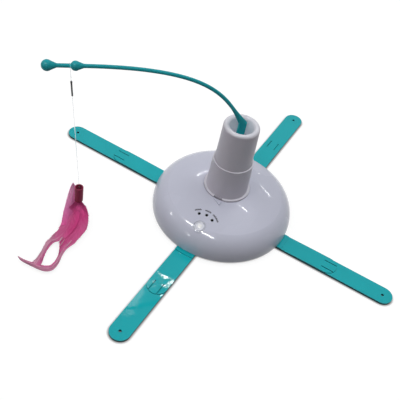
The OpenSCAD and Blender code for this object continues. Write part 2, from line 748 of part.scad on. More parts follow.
module tower_column() color([0.7, 0.71, 0.76])
    difference() {
        union() {
            rotate_extrude()
                difference() {
                    union() {
                        polygon([[0, column_foot_z], [column_foot_r, column_foot_z], [column_top_r, column_top_z], [0, column_top_z]]);
                        translate([0, seat_z]) square([flange_r, flange_t]);
                        translate([0, seat_z - spigot_h]) square([spigot_r, spigot_h + eps]);
                    }
                    polygon([
                        [0, seat_z - spigot_h - 1], [spigot_r - column_wall, seat_z - spigot_h - 1],
                        [spigot_r - column_wall, column_foot_z], [recess_r - 0.6, web_z], [0, web_z]
                    ]);
                    translate([0, web_z + web_t]) square([recess_r, far]);
                }
            for (a = lug_angles)
                rotate([0, 0, a + lug_arc + 4])
                    translate([0, 0, seat_z - dome_seat_t - seat_gap - lug_t])
                        rotate_extrude(angle = lug_arc - 8)
                            translate([spigot_r - 0.5, 0]) square([lug_w + 0.5, lug_t]);
        }
        translate([0, 0, web_z - 1]) cylinder(r = shaft_r + run_gap + bush_wall + seat_gap, h = far);
        rotate([0, 0, notch_angles[0]])
            rotate_extrude(angle = notch_angles[1] - notch_angles[0])
                translate([column_foot_r + 0.2, seat_z - eps]) square([far, flange_t + 2 * eps]);
    }

module shaft_bush() color([0.72, 0.55, 0.3])
    difference() {
        union() {
            translate([0, 0, web_z]) cylinder(r = shaft_r + run_gap + bush_wall, h = web_t + eps);
            translate([0, 0, web_z + web_t]) cylinder(r = shaft_r + run_gap + bush_wall + bush_flange, h = bush_flange_t);
        }
        cylinder(r = shaft_r + run_gap, h = far);
    }

module motor() color([0.62, 0.63, 0.65])
    translate([motor_pos[0], motor_pos[1], gear_plate_z - motor_l])
        difference() {
            union() {
                rotate_extrude() {
                    square([motor_d / 2 - 1, motor_l]);
                    translate([0, 1]) square([motor_d / 2, motor_l - 2]);
                    translate([motor_d / 2 - 1, 1]) circle(r = 1, $fn = 32);
                    translate([motor_d / 2 - 1, motor_l - 1]) circle(r = 1, $fn = 32);
                }
                cylinder(r = motor_boss_r, h = motor_l + motor_boss_h);
                for (y = [-4, 4])
                    translate([motor_d / 2 - 6, y - 1, -3]) cube([0.5, 2, 3 + eps]);
            }
            translate([0, 0, 2]) cylinder(r = pin_r + run_gap, h = far);
        }

module motor_shaft() color([0.75, 0.76, 0.78])
    translate([motor_pos[0], motor_pos[1], gear_plate_z - motor_l + 2.2])
        cylinder(r = pin_r, h = idler_top + 1 - (gear_plate_z - motor_l + 2.2));

module motor_pinion() color([0.85, 0.8, 0.6])
    translate([motor_pos[0], motor_pos[1], idler_z - 0.2])
        linear_extrude(pinion_w)
            difference() {
                rotate(motor_angle + 180 + 180 / pinion_teeth) gear_outline(pinion_teeth);
                circle(r = pin_r + run_gap);
            }

module gear_plate() color([0.3, 0.31, 0.33])
    difference() {
        union() {
            translate([0, 0, gear_plate_z])
                linear_extrude(gear_plate_t) {
                    polygon([tower_posts[0], [shaft_r + 4, -6], [shaft_r + 4, 6], tower_posts[2], tower_posts[1]]);
                    for (p = tower_posts)
                        translate(p) circle(r = lug_r);
                    circle(r = shaft_r + 5);
                    translate(motor_pos) circle(r = motor_d / 2);
                }
            translate([0, 0, shaft_bottom_z - 1]) cylinder(r = shaft_r + 2.5, h = gear_plate_z - shaft_bottom_z + 1 + eps);
        }
        translate([0, 0, shaft_bottom_z - 0.1]) cylinder(r = shaft_r + run_gap, h = far);
        translate([idler_pos[0], idler_pos[1], 0]) cylinder(r = pin_r + run_gap, h = far);
        translate([motor_pos[0], motor_pos[1], 0]) cylinder(r = motor_boss_r + seat_gap, h = far);
        for (p = tower_posts)
            translate([p[0], p[1], 0]) cylinder(r = screw_r + 0.3, h = far);
    }

module gear_plate_screws() color([0.6, 0.6, 0.62])
    for (p = tower_posts)
        translate([p[0], p[1], gear_plate_top + screw_head_t]) rotate([180, 0, 0]) pan_screw(screw_r, plate_screw_l, screw_head_r, screw_head_t);

module idler_pin() color([0.75, 0.76, 0.78])
    translate([idler_pos[0], idler_pos[1], 0]) {
        translate([0, 0, gear_plate_z]) cylinder(r = pin_r, h = idler_top + move_gap - gear_plate_z + eps);
        translate([0, 0, idler_top + move_gap]) cylinder(r = pin_head_r, h = pin_head_t);
    }

// Small wheel that meets the output gear, with the large wheel that meets the pinion on top of it
module reduction_gear() color([0.92, 0.92, 0.9])
    translate([idler_pos[0], idler_pos[1], 0])
        difference() {
            union() {
                translate([0, 0, gear_plate_top + move_gap])
                    cylinder(r = pinion_pitch_r - 1.6 * gear_module, h = idler_z - gear_plate_top);
                translate([0, 0, gear_z - 0.2])
                    linear_extrude(idler_z - gear_z + idler_w / 2)
                        rotate(idler_angle + 180 + 180 / pinion_teeth) gear_outline(pinion_teeth);
                translate([0, 0, idler_z])
                    linear_extrude(idler_w) rotate(motor_angle) gear_outline(idler_teeth);
            }
            cylinder(r = pin_r + run_gap, h = far);
        }

module output_gear() color([0.92, 0.92, 0.9])
    difference() {
        union() {
            translate([0, 0, gear_z]) linear_extrude(gear_w) rotate(idler_angle) gear_outline(output_teeth);
            translate([0, 0, gear_plate_top + move_gap]) cylinder(r = output_hub_r, h = gear_z - gear_plate_top - move_gap + gear_w + 3);
        }
        cylinder(r = shaft_r + 0.02, h = far);
        for (a = [0 : 60 : 300])
            rotate([0, 0, a]) translate([output_pitch_r * 0.64, 0, 0]) cylinder(r = output_pitch_r * 0.16, h = far);
    }

module output_shaft() color([0.75, 0.76, 0.78])
    difference() {
        translate([0, 0, shaft_bottom_z]) cylinder(r = shaft_r, h = shaft_top_z - shaft_bottom_z);
        translate([shaft_r - shaft_flat, -far / 2, head_foot_z + 2]) cube([far, far, far]);
    }

// Turned section of the head: outer wall, full-round rim, cup wall and floor, and the shaft hub
module head_section() {
    cup_outer = tower_wall;
    difference() {
        union() {
            polygon([
                [0, head_foot_z], [head_foot_r, head_foot_z], [head_top_r, rim_round_z],
                [cup_r, rim_round_z], [cup_floor_r, cup_floor_z], [0, cup_floor_z]
            ]);
            translate([head_top_r - rim_round_r, rim_round_z]) circle(r = rim_round_r);
        }
        polygon([
            [hub_r, head_foot_z - 1], [head_foot_r - tower_wall, head_foot_z - 1],
            [head_top_r - tower_wall, rim_round_z - 1.5], [cup_r + cup_outer - 0.2, rim_round_z - 1.5],
            [cup_floor_r + cup_outer, cup_floor_z - cup_floor_t], [hub_r, cup_floor_z - cup_floor_t]
        ]);
    }
}

module rotating_head() color([0.7, 0.71, 0.76])
    difference() {
        union() {
            rotate_extrude() head_section();
            for (i = [0 : head_ribs - 1])
                rotate([0, 0, i * 360 / head_ribs])
                    translate([hub_r - 0.5, -head_rib_t / 2, head_foot_z + 4])
                        cube([head_foot_r - hub_r - 1, head_rib_t, cup_floor_z - cup_floor_t - head_foot_z - 3]);
            at_wand() translate([0, 0, cup_floor_z - eps])
                linear_extrude(socket_h) round_rect(root_w + 2 * socket_wall, root_t + 2 * socket_wall, 2);
        }
        difference() {
            translate([0, 0, head_foot_z - 1]) cylinder(r = shaft_r + 0.02, h = shaft_top_z + 0.2 - head_foot_z + 1);
            translate([shaft_r - shaft_flat + 0.05, -far / 2, head_foot_z + 2.2]) cube([far, far, far]);
        }
        at_wand() translate([0, 0, root_bottom_z - 0.1])
            linear_extrude(far) round_rect(root_w + 2 * seat_gap, root_t + 2 * seat_gap, root_corner);
    }

// Flat root, bent rod that tapers from it, and the tip with its two balls
module wand() color([0.16, 0.5, 0.5])
    at_wand() {
        path = [for (i = [0 : wand_steps]) let (p = cubic(wand_curve, i / wand_steps)) [p[0], 0, p[1]]];
        taper = [for (i = [0 : wand_steps]) max(0, 1 - i / (wand_steps * 0.2))];
        translate([0, 0, root_bottom_z])
            linear_extrude(bend_z + 1 - root_bottom_z) round_rect(root_w, root_t, root_corner);
        tube(path, [for (k = taper) rod_r + (root_w / 2 - rod_r) * pow(k, 1.5)],
            [for (k = taper) rod_r + (root_t / 2 - rod_r) * k], [0, 1, 0], 16);
        translate([tip_start - 1, 0, tip_z]) rotate([0, 90, 0]) rotate_extrude() wand_tip_section();
    }

// Half section of the wand's tip: x is the radius, y runs along the wand from just before its straight end
module wand_tip_section() {
    inner_y = inner_ball_reach - tip_start + 1;
    tip_y = inner_y + ball_pitch;
    square([tip_rod_r, tip_y]);
    for (ball = [[inner_y, inner_ball_d / 2], [tip_y, tip_ball_d / 2]]) {
        intersection() {
            translate([0, ball[0]]) circle(r = ball[1]);
            translate([0, -far / 2]) square([far, far]);
        }
    }
    for (ball = [[inner_y, inner_ball_d], [tip_y, tip_ball_d]])
        polygon([
            [0, ball[0] - 0.8 * ball[1]], [tip_rod_r, ball[0] - 0.8 * ball[1]],
            [0.41 * ball[1], ball[0] - 0.285 * ball[1]], [0, ball[0] - 0.285 * ball[1]]
        ]);
}

// Loop of the line over the wand's neck, its two strands drawn together above the sleeve
module line_loop() color([0.75, 0.76, 0.78])
    at_line() {
        bottom = -loop_drop + eye_r + 0.12;
        shoulder = loop_r * 2.4;
        path = concat(
            [[0, -strand_y, bottom], [0, -strand_y, bottom + 2], [0, -strand_y * 1.6, bottom + 5]],
            [for (a = [-30 : 15 : 210]) [0, -loop_r * cos(a), (a < 0 || a > 180 ? shoulder : loop_r) * sin(a)]],
            [[0, strand_y * 1.6, bottom + 5], [0, strand_y, bottom + 2], [0, strand_y, bottom]]
        );
        half = [for (p = path) line_r];
        tube(path, half, half, [1, 0, 0], 8);
    }

// Dark sleeve with a round end across the line, on which the lure swings
module line_crimp() color([0.33, 0.33, 0.34])
    at_line()
        translate([0, 0, -loop_drop]) {
            translate([0, 0, -crimp_l]) cylinder(r = crimp_d / 2, h = crimp_l, $fn = 32);
            rotate([90, 0, 0]) cylinder(r = eye_r, h = eye_w, center = true, $fn = 32);
        }

module hanging_line() color([0.75, 0.76, 0.78])
    at_line() {
        start = loop_drop + crimp_l;
        stretch = (line_end - start) / line_route[len(line_route) - 1];
        path = [for (d = line_route) [0, 0, -start - d * stretch]];
        half = [for (p = path) line_r];
        tube(path, half, half, [0, 1, 0], 8);
    }

module feather_ferrule() color([0.36, 0.13, 0.2])
    at_lure() rotate_extrude()
        difference() {
            union() {
                translate([0, ferrule_bottom_z]) square([ferrule_r, ferrule_top_z - ferrule_bottom_z - ferrule_wall / 2]);
                translate([ferrule_r - ferrule_wall / 2, ferrule_top_z - ferrule_wall / 2]) circle(r = ferrule_wall / 2, $fn = 32);
            }
            translate([0, ferrule_bottom_z - 1]) square([ferrule_r - ferrule_wall, far]);
        }

module quill_bundle() color([0.5, 0.15, 0.3])
    at_lure() translate([0, 0, ferrule_bottom_z + 1])
        cylinder(r = ferrule_r - ferrule_wall - 0.05, h = quill_top_z - ferrule_bottom_z - 1);

module feather_plume() color([0.75, 0.3, 0.5])
    at_lure() {
        blade(plume_body);
        blade(plume_left);
        blade(plume_right);
    }

module feather_wisp() color([0.8, 0.45, 0.62])
    at_lure() blade(wisp_body);

// Stadium along X with round ends, from one end's centre to the other's
module strip(x0, x1, w) {
    translate([x0, -w / 2]) square([x1 - x0, w]);
    translate([x1, 0]) circle(r = w / 2);
}

// Plan of the inner strip's rounded lap, with its two slits
module lap_plan(gap) {
    x1 = lap_reach - leg_end_r;
    strip(lap_reach - lap_length - gap, x1, leg_w + 2 * gap);
}

module leg_inner(a) color([0.18, 0.65, 0.68])
    rotate([0, 0, a]) {
        difference() {
            union() {
                rotate([90, 0, 0])
                    translate([0, 0, -leg_w / 2])
                        linear_extrude(leg_w)
                            polygon([
                                [leg_root_reach, 0], [lap_start, 0], [lap_start, leg_t + lap_rise],
                                [lap_start - 4, leg_t + lap_rise], [collar_reach, leg_t], [leg_root_reach, leg_t]
                            ]);
                intersection() {
                    linear_extrude(leg_root_t) translate([leg_root_reach, -leg_w / 2]) square([far, leg_w]);
                    cylinder(r = collar_reach, h = far);
                }
                translate([0, 0, lap_floor_t + seat_gap])
                    linear_extrude(leg_t + lap_rise - lap_floor_t - seat_gap)
                        difference() {
                            translate([-2, 0]) union() {
                                translate([2, 0]) lap_plan(0);
                                translate([lap_reach - lap_length - 2, -leg_w / 2]) square([6, leg_w]);
                            }
                            for (y = [-1, 1])
                                translate([lap_reach - slit_length, y * slit_gap / 2 - slit_w / 2]) square([far, slit_w]);
                        }
            }
            translate([leg_root_reach + 6.5, 0, -1]) cylinder(r = leg_peg_r + seat_gap, h = far);
        }
        translate([lap_reach - 4 - barb_l, -barb_w / 2, lap_floor_t / 3]) cube([barb_l, barb_w, lap_floor_t]);
    }

module leg_outer(a) color([0.18, 0.65, 0.68])
    rotate([0, 0, a])
        difference() {
            union() {
                linear_extrude(lap_floor_t) strip(lap_reach - lap_length + 2 * seat_gap, leg_hole_reach, leg_w);
                linear_extrude(leg_t)
                    difference() {
                        strip(lap_reach - lap_length + 4, leg_hole_reach, leg_w);
                        lap_plan(seat_gap * 2);
                    }
            }
            translate([leg_hole_reach, 0, -1]) cylinder(r = leg_hole_r, h = far);
            translate([lap_reach - 4 - barb_l - seat_gap, -barb_w / 2 - seat_gap, -1]) cube([barb_l + 2 * seat_gap, barb_w + 2 * seat_gap, far]);
        }

upper_dome();
base_plate();
battery_door();
door_screw();
housing_screws();
rubber_feet();
battery_cell(0);  // battery_cell_1
battery_cell(1);  // battery_cell_2
battery_cell(2);  // battery_cell_3
battery_contacts();
circuit_board();
board_screws();
indicator_leds();
tact_switch();
switch_plunger();
push_button();
tower_column();
shaft_bush();
motor();
motor_shaft();
motor_pinion();
gear_plate();
gear_plate_screws();
idler_pin();
reduction_gear();
output_gear();
output_shaft();
rotating_head();
wand();
line_loop();
line_crimp();
hanging_line();
feather_ferrule();
quill_bundle();
feather_plume();
feather_wisp();
leg_inner(leg_angles[0]);  // leg_right_inner
leg_inner(leg_angles[1]);  // leg_back_inner
leg_inner(leg_angles[2]);  // leg_left_inner
leg_inner(leg_angles[3]);  // leg_front_inner
leg_outer(leg_angles[0]);  // leg_right_outer
leg_outer(leg_angles[1]);  // leg_back_outer
leg_outer(leg_angles[2]);  // leg_left_outer
leg_outer(leg_angles[3]);  // leg_front_outer
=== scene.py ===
# The toy stands on a white sweep under a wide soft lamp. Ceiling tubes show as thin streaks in its gloss,
# and a weak window is at the left. The camera looks down from in front of the panel, tipped a little.
import math
import random

import bpy
from mathutils import Matrix, Vector
from mathutils.bvhtree import BVHTree


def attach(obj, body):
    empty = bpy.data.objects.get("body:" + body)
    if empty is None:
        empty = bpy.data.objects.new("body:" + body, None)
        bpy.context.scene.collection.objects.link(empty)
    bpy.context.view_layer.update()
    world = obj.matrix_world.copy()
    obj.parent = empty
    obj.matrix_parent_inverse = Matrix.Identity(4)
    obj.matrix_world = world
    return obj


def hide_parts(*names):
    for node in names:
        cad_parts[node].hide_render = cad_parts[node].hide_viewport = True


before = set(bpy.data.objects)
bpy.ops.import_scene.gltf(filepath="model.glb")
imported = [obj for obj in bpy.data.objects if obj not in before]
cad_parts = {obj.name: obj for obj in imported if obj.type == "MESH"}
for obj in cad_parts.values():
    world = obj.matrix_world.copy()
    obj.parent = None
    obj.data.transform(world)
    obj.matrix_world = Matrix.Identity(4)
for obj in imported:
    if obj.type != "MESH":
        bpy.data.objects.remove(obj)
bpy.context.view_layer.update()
mm = 0.001

bpy.context.scene.view_settings.view_transform = "Standard"

view_turn = math.radians(21.16)
view_height = math.radians(45.85)
view_roll = math.radians(12.61)
camera_place = Vector((171.56, -510.06, 562.34)) * mm

level = Vector((math.cos(view_turn), math.sin(view_turn), 0))
backward = Vector((
    math.sin(view_turn) * math.cos(view_height),
    -math.cos(view_turn) * math.cos(view_height),
    math.sin(view_height),
))
upright = backward.cross(level)
across = level * math.cos(view_roll) + upright * math.sin(view_roll)
upward = upright * math.cos(view_roll) - level * math.sin(view_roll)

camera = bpy.data.objects.new("camera", bpy.data.cameras.new("camera"))
camera.data.lens = 64.1
camera.data.sensor_width = 36
camera.data.clip_start = 0.01
camera.matrix_world = Matrix((across, upward, backward)).transposed().to_4x4()
camera.matrix_world.translation = camera_place
bpy.context.scene.collection.objects.link(camera)
bpy.context.scene.camera = camera


def seen_directly(tree):
    """1 for rays that show the white backdrop: straight, mirrored or through something clear."""
    path = tree.nodes.new("ShaderNodeLightPath")
    total = path.outputs["Is Camera Ray"]
    for ray in ("Is Glossy Ray", "Is Transmission Ray"):
        add = tree.nodes.new("ShaderNodeMath")
        add.operation = "MAXIMUM"
        tree.links.new(total, add.inputs[0])
        tree.links.new(path.outputs[ray], add.inputs[1])
        total = add.outputs[0]
    return total


room_light = 0.2
backdrop_white = 0.91
world = bpy.data.worlds.new("white_room")
world.use_nodes = True
bpy.context.scene.world = world
backdrop = world.node_tree.nodes["Background"]
backdrop.inputs["Color"].default_value = (backdrop_white, backdrop_white, backdrop_white, 1)
backdrop.inputs["Strength"].default_value = 1
room = world.node_tree.nodes.new("ShaderNodeBackground")
room.inputs["Color"].default_value = (0.98, 0.99, 1, 1)
room.inputs["Strength"].default_value = room_light
room_mix = world.node_tree.nodes.new("ShaderNodeMixShader")
world.node_tree.links.new(seen_directly(world.node_tree), room_mix.inputs[0])
world.node_tree.links.new(room.outputs[0], room_mix.inputs[1])
world.node_tree.links.new(backdrop.outputs[0], room_mix.inputs[2])
world.node_tree.links.new(room_mix.outputs[0], world.node_tree.nodes["World Output"].inputs["Surface"])

sweep_half = 12.0
sweep_drop = 0.2 * mm
paper_tone = 0.22
bounce_tone = 0.14
contact_shadow_reach = 2.7 * mm
contact_shadow_power = 2.5
glow_level = 0.86
sweep_mesh = bpy.data.meshes.new("floor")
sweep_mesh.from_pydata(
    [(x * sweep_half, y * sweep_half, -sweep_drop) for x, y in ((-1, -1), (1, -1), (1, 1), (-1, 1))],
    [], [(0, 1, 2, 3)],
)
sweep = bpy.data.objects.new("floor", sweep_mesh)
bpy.context.scene.collection.objects.link(sweep)
sweep_paper = bpy.data.materials.new("sweep_paper")
sweep_paper.use_nodes = True
paper_tree = sweep_paper.node_tree
paper_tree.nodes.remove(paper_tree.nodes["Principled BSDF"])
paper_shade = paper_tree.nodes.new("ShaderNodeBsdfDiffuse")
paper_shade.inputs["Color"].default_value = (paper_tone, paper_tone, paper_tone, 1)
paper_glow = paper_tree.nodes.new("ShaderNodeEmission")
# Painted shadow: ambient occlusion darkens the sweep's glow next to the toy, so its contact shadows and the
# dark leg holes are painted into the floor.
contact_shadow_occlusion = paper_tree.nodes.new("ShaderNodeAmbientOcclusion")
contact_shadow_occlusion.inputs["Distance"].default_value = contact_shadow_reach
painted_contact_shadow = paper_tree.nodes.new("ShaderNodeMath")
painted_contact_shadow.operation = "POWER"
painted_contact_shadow.inputs[1].default_value = contact_shadow_power
paper_tree.links.new(contact_shadow_occlusion.outputs["AO"], painted_contact_shadow.inputs[0])
paper_level = paper_tree.nodes.new("ShaderNodeMath")
paper_level.operation = "MULTIPLY"
paper_level.inputs[1].default_value = glow_level
paper_tree.links.new(painted_contact_shadow.outputs[0], paper_level.inputs[0])
paper_tree.links.new(paper_level.outputs[0], paper_glow.inputs["Strength"])
paper_seen = paper_tree.nodes.new("ShaderNodeAddShader")
paper_bounce = paper_tree.nodes.new("ShaderNodeBsdfDiffuse")
paper_bounce.inputs["Color"].default_value = (bounce_tone, bounce_tone, bounce_tone, 1)
paper_mix = paper_tree.nodes.new("ShaderNodeMixShader")
paper_tree.links.new(paper_shade.outputs[0], paper_seen.inputs[0])
paper_tree.links.new(paper_glow.outputs[0], paper_seen.inputs[1])
paper_tree.links.new(seen_directly(paper_tree), paper_mix.inputs[0])
paper_tree.links.new(paper_bounce.outputs[0], paper_mix.inputs[1])
paper_tree.links.new(paper_seen.outputs[0], paper_mix.inputs[2])
paper_tree.links.new(paper_mix.outputs[0], paper_tree.nodes["Material Output"].inputs["Surface"])
sweep_mesh.materials.append(sweep_paper)


def hang_lamp(name, start, end, width, brightness, colour=(1, 1, 1)):
    """Flat lamp from one end to the other, turned to the toy."""
    start = Vector(start)
    end = Vector(end)
    run = end - start
    centre = (start + end) / 2
    along = run.normalized()
    to_toy = -centre
    facing = -(to_toy - along * to_toy.dot(along)).normalized()
    lamp = bpy.data.lights.new(name, "AREA")
    lamp.shape = "RECTANGLE"
    lamp.size = run.length
    lamp.size_y = width
    lamp.energy = brightness * math.pi * run.length * width
    lamp.color = colour
    holder = bpy.data.objects.new(name, lamp)
    holder.matrix_world = Matrix((along, facing.cross(along), facing)).transposed().to_4x4()
    holder.matrix_world.translation = centre
    holder.visible_camera = False
    bpy.context.scene.collection.objects.link(holder)
    return holder


ceiling = 1.5
window_height = 1.3
ceiling_tubes = [
    ((-1.232, 1.502), (-1.239, 1.994), 0.02, 60),
    ((0.033, 2.54), (0.382, 2.302), 0.016, 60),
    ((-0.011, 0.903), (0.239, 0.885), 0.018, 75),
    ((-0.801, -0.654), (-0.476, -0.662), 0.11, 50),
    ((-0.476, -0.662), (-0.137, -0.994), 0.11, 50),
    ((-0.137, -0.994), (0.432, -1.239), 0.11, 50),
    ((-1.75, -3.9), (-1.05, -4.5), 0.16, 24),
    ((-0.996, 1.119), (-0.956, 1.119), 0.04, 60),
    ((-2.78, -1.42), (-2.56, -1.42), 0.22, 90),
    ((-0.42, 4.265), (-0.37, 4.265), 0.05, 40),
    ((-0.475, 0.955), (-0.43, 0.945), 0.035, 60),
    ((-0.53, 0.9), (-0.505, 0.73), 0.07, 5),
]
for number, (near, far, width, brightness) in enumerate(ceiling_tubes):
    tube = hang_lamp(f"ceiling_tube_{number}", (*near, ceiling), (*far, ceiling), width, brightness)
    tube.visible_diffuse = False
overhead = hang_lamp("overhead", (-0.3, 0.4, ceiling), (0.9, 0.4, ceiling), 1.2, 2.35, (0.975, 0.99, 1))
overhead.visible_glossy = False
front = hang_lamp("front", (-1.0, -0.7, ceiling), (0.3, -1.2, ceiling), 0.4, 3.1, (1, 0.95, 0.94))
front.visible_glossy = False
window = hang_lamp(
    "window", (-1.9, 0.6, window_height), (-1.3, -1.5, window_height), 1.4, 1.12, (0.98, 0.99, 1),
)
window.visible_glossy = False


# Base plate and battery door. Both are moulded from the same pale grey plastic as the tower, and the
# door is held by one screw. Fine texture comes from the spark-eroded mould.
def srgb(code):
    """Light values of a colour that is written as it looks on a screen."""
    parts = [int(code[i:i + 2], 16) / 255 for i in (0, 2, 4)]
    return [p / 12.92 if p <= 0.04045 else ((p + 0.055) / 1.055) ** 2.4 for p in parts]


def new_finish(name):
    """Empty material with its nodes and its shader."""
    material = bpy.data.materials.new(name)
    material.use_nodes = True
    return material, material.node_tree, material.node_tree.nodes["Principled BSDF"]


def mottle(tree, scale, low, high, detail=3.0):
    """Colour that drifts between two close tones over the surface."""
    place = tree.nodes.new("ShaderNodeTexCoord")
    noise = tree.nodes.new("ShaderNodeTexNoise")
    noise.inputs["Scale"].default_value = scale
    noise.inputs["Detail"].default_value = detail
    ramp = tree.nodes.new("ShaderNodeValToRGB")
    ramp.color_ramp.elements[0].position = 0.3
    ramp.color_ramp.elements[0].color = (*low, 1)
    ramp.color_ramp.elements[1].position = 0.7
    ramp.color_ramp.elements[1].color = (*high, 1)
    tree.links.new(place.outputs["Object"], noise.inputs["Vector"])
    tree.links.new(noise.outputs["Fac"], ramp.inputs["Fac"])
    return noise, ramp


def grain(tree, shader, scale, depth, strength):
    """Fine relief of the moulded or cast skin."""
    place = tree.nodes.new("ShaderNodeTexCoord")
    noise = tree.nodes.new("ShaderNodeTexNoise")
    noise.inputs["Scale"].default_value = scale
    noise.inputs["Detail"].default_value = 2
    bump = tree.nodes.new("ShaderNodeBump")
    bump.inputs["Strength"].default_value = strength
    bump.inputs["Distance"].default_value = depth
    tree.links.new(place.outputs["Object"], noise.inputs["Vector"])
    tree.links.new(noise.outputs["Fac"], bump.inputs["Height"])
    tree.links.new(bump.outputs["Normal"], shader.inputs["Normal"])


def vary_roughness(tree, shader, noise, low, high):
    """Gloss that changes a little with the flow of the material."""
    gloss = tree.nodes.new("ShaderNodeMapRange")
    gloss.inputs["To Min"].default_value = low
    gloss.inputs["To Max"].default_value = high
    tree.links.new(noise.outputs["Fac"], gloss.inputs["Value"])
    tree.links.new(gloss.outputs["Result"], shader.inputs["Roughness"])


def moulded_plastic(name, colour, roughness, coat=0.0, shine=0.5, drift=0.05, skin=(1400, 0.01, 0.12)):
    """Plastic whose tone drifts a little. Its skin is a scale, a depth in millimetres and a strength."""
    material, tree, shader = new_finish(name)
    tone = srgb(colour)
    noise, ramp = mottle(tree, 22, [c * (1 - drift) for c in tone], [c * (1 + drift) for c in tone])
    tree.links.new(ramp.outputs["Color"], shader.inputs["Base Color"])
    vary_roughness(tree, shader, noise, roughness * 0.85, roughness * 1.2)
    shader.inputs["Specular IOR Level"].default_value = shine
    shader.inputs["Coat Weight"].default_value = coat
    shader.inputs["Coat Roughness"].default_value = 0.06
    grain(tree, shader, skin[0], skin[1] * mm, skin[2])
    return material


def dress(material, *names):
    """Gives the named solids this finish."""
    for name in names:
        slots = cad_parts[name].data.materials
        slots.clear()
        slots.append(material)


base_grey = moulded_plastic("base_grey", "C4C5D0", 0.42, skin=(2200, 0.03, 0.35))
dress(base_grey, "base_plate", "battery_door")


# Rubber feet and screws. The feet are punched from black rubber and glued into their seats, and the
# screws are zinc-plated steel, driven into bosses of the dome and the base plate.
def cast_rubber(name, colour):
    material, tree, shader = new_finish(name)
    tone = srgb(colour)
    noise, ramp = mottle(tree, 160, [c * 0.8 for c in tone], [c * 1.25 for c in tone])
    tree.links.new(ramp.outputs["Color"], shader.inputs["Base Color"])
    vary_roughness(tree, shader, noise, 0.75, 0.92)
    grain(tree, shader, 3000, 0.05 * mm, 0.5)
    return material


def drawn_metal(name, colour, roughness, stretch):
    """Metal with fine lines along its height, from drawing or turning."""
    material, tree, shader = new_finish(name)
    shader.inputs["Metallic"].default_value = 1
    tone = srgb(colour)
    noise, ramp = mottle(tree, 300, [c * 0.82 for c in tone], [min(1, c * 1.1) for c in tone], 4)
    place = tree.nodes.new("ShaderNodeTexCoord")
    lines = tree.nodes.new("ShaderNodeMapping")
    lines.inputs["Scale"].default_value = stretch
    tree.links.new(place.outputs["Object"], lines.inputs["Vector"])
    tree.links.new(lines.outputs["Vector"], noise.inputs["Vector"])
    tree.links.new(ramp.outputs["Color"], shader.inputs["Base Color"])
    vary_roughness(tree, shader, noise, roughness * 0.8, roughness * 1.3)
    return material


foot_rubber = cast_rubber("foot_rubber", "2A2A2C")
dress(foot_rubber, "rubber_feet")
zinc_steel = drawn_metal("zinc_steel", "A4A6AA", 0.34, (6, 6, 1))
dress(zinc_steel, "door_screw", "housing_screws", "board_screws", "gear_plate_screws")


# Battery cells and contacts. Each cell is a steel can in a printed green film, and nickel-plated
# spring-steel strips at the ends of the bay join the cells.
def shrink_film(name, colour):
    material, tree, shader = new_finish(name)
    tone = srgb(colour)
    noise, ramp = mottle(tree, 60, [c * 0.9 for c in tone], [c * 1.1 for c in tone])
    tree.links.new(ramp.outputs["Color"], shader.inputs["Base Color"])
    vary_roughness(tree, shader, noise, 0.24, 0.34)
    shader.inputs["Coat Weight"].default_value = 0.6
    shader.inputs["Coat Roughness"].default_value = 0.12
    grain(tree, shader, 500, 0.02 * mm, 0.2)
    return material


cell_film = shrink_film("cell_film", "3F7350")
dress(cell_film, "battery_cell_1", "battery_cell_2", "battery_cell_3")
nickel_strip = drawn_metal("nickel_strip", "B9B7B0", 0.28, (1, 1, 5))
dress(nickel_strip, "battery_contacts")


# Circuit board and switch. A green lacquered board carries the lights and a small push switch with
# a black body, and the button's plunger stands on the switch.
def lacquered_board(name, colour):
    material, tree, shader = new_finish(name)
    tone = srgb(colour)
    noise, ramp = mottle(tree, 420, [c * 0.75 for c in tone], [c * 1.3 for c in tone], 1)
    tree.links.new(ramp.outputs["Color"], shader.inputs["Base Color"])
    vary_roughness(tree, shader, noise, 0.3, 0.45)
    shader.inputs["Coat Weight"].default_value = 0.5
    shader.inputs["Coat Roughness"].default_value = 0.15
    grain(tree, shader, 900, 0.05 * mm, 0.3)
    return material


board_green = lacquered_board("board_green", "1F5C36")
dress(board_green, "circuit_board")
switch_black = moulded_plastic("switch_black", "1E1D20", 0.45, drift=0.15)
dress(switch_black, "tact_switch", "switch_plunger", "gear_plate")


# Motor and gear train. A small can motor drives a brass pinion, a two-step white wheel and the big
# wheel on the head's shaft, so the head turns slowly and with force.
motor_can = drawn_metal("motor_can", "9C9EA2", 0.3, (1, 1, 8))
dress(motor_can, "motor", "motor_shaft", "idler_pin", "output_shaft")
pinion_brass = drawn_metal("pinion_brass", "B88F4E", 0.3, (1, 1, 6))
dress(pinion_brass, "motor_pinion", "shaft_bush")
gear_white = moulded_plastic("gear_white", "E2E1DB", 0.4, drift=0.03)
dress(gear_white, "reduction_gear", "output_gear")


# Dome. One glossy pale lilac-grey moulding from a polished mould, screwed to the base plate from
# below, with the seat of the tower in its middle.
polished_skin = (60, 0.02, 0.05)
dome_gloss = moulded_plastic(
    "dome_gloss", "CDCFDF", 0.26, coat=0.5, shine=0.12, drift=0.012, skin=polished_skin,
)
dress(dome_gloss, "upper_dome")

crown_centre = -145.235 * mm
crown_radius = 186.353 * mm
rim_reach = 49 * mm
rim_height = 7.5 * mm
rim_radius = 26 * mm
skin_gap = 0.3 * mm
skin_likeness = 0.9


def vector_step(tree, operation, first, second=None):
    """One operation on places or directions, as a node."""
    step = tree.nodes.new("ShaderNodeVectorMath")
    step.operation = operation
    tree.links.new(first, step.inputs[0])
    if isinstance(second, tuple):
        step.inputs[1].default_value = second
    elif second is not None:
        tree.links.new(second, step.inputs[1])
    return step.outputs["Value"] if operation in ("LENGTH", "DOT_PRODUCT") else step.outputs["Vector"]


def number_step(tree, operation, first, second, third=0.0):
    """One operation on numbers, as a node."""
    step = tree.nodes.new("ShaderNodeMath")
    step.operation = operation
    tree.links.new(first, step.inputs[0])
    for socket, value in ((step.inputs[1], second), (step.inputs[2], third)):
        if isinstance(value, float):
            socket.default_value = value
        else:
            tree.links.new(value, socket)
    return step.outputs[0]


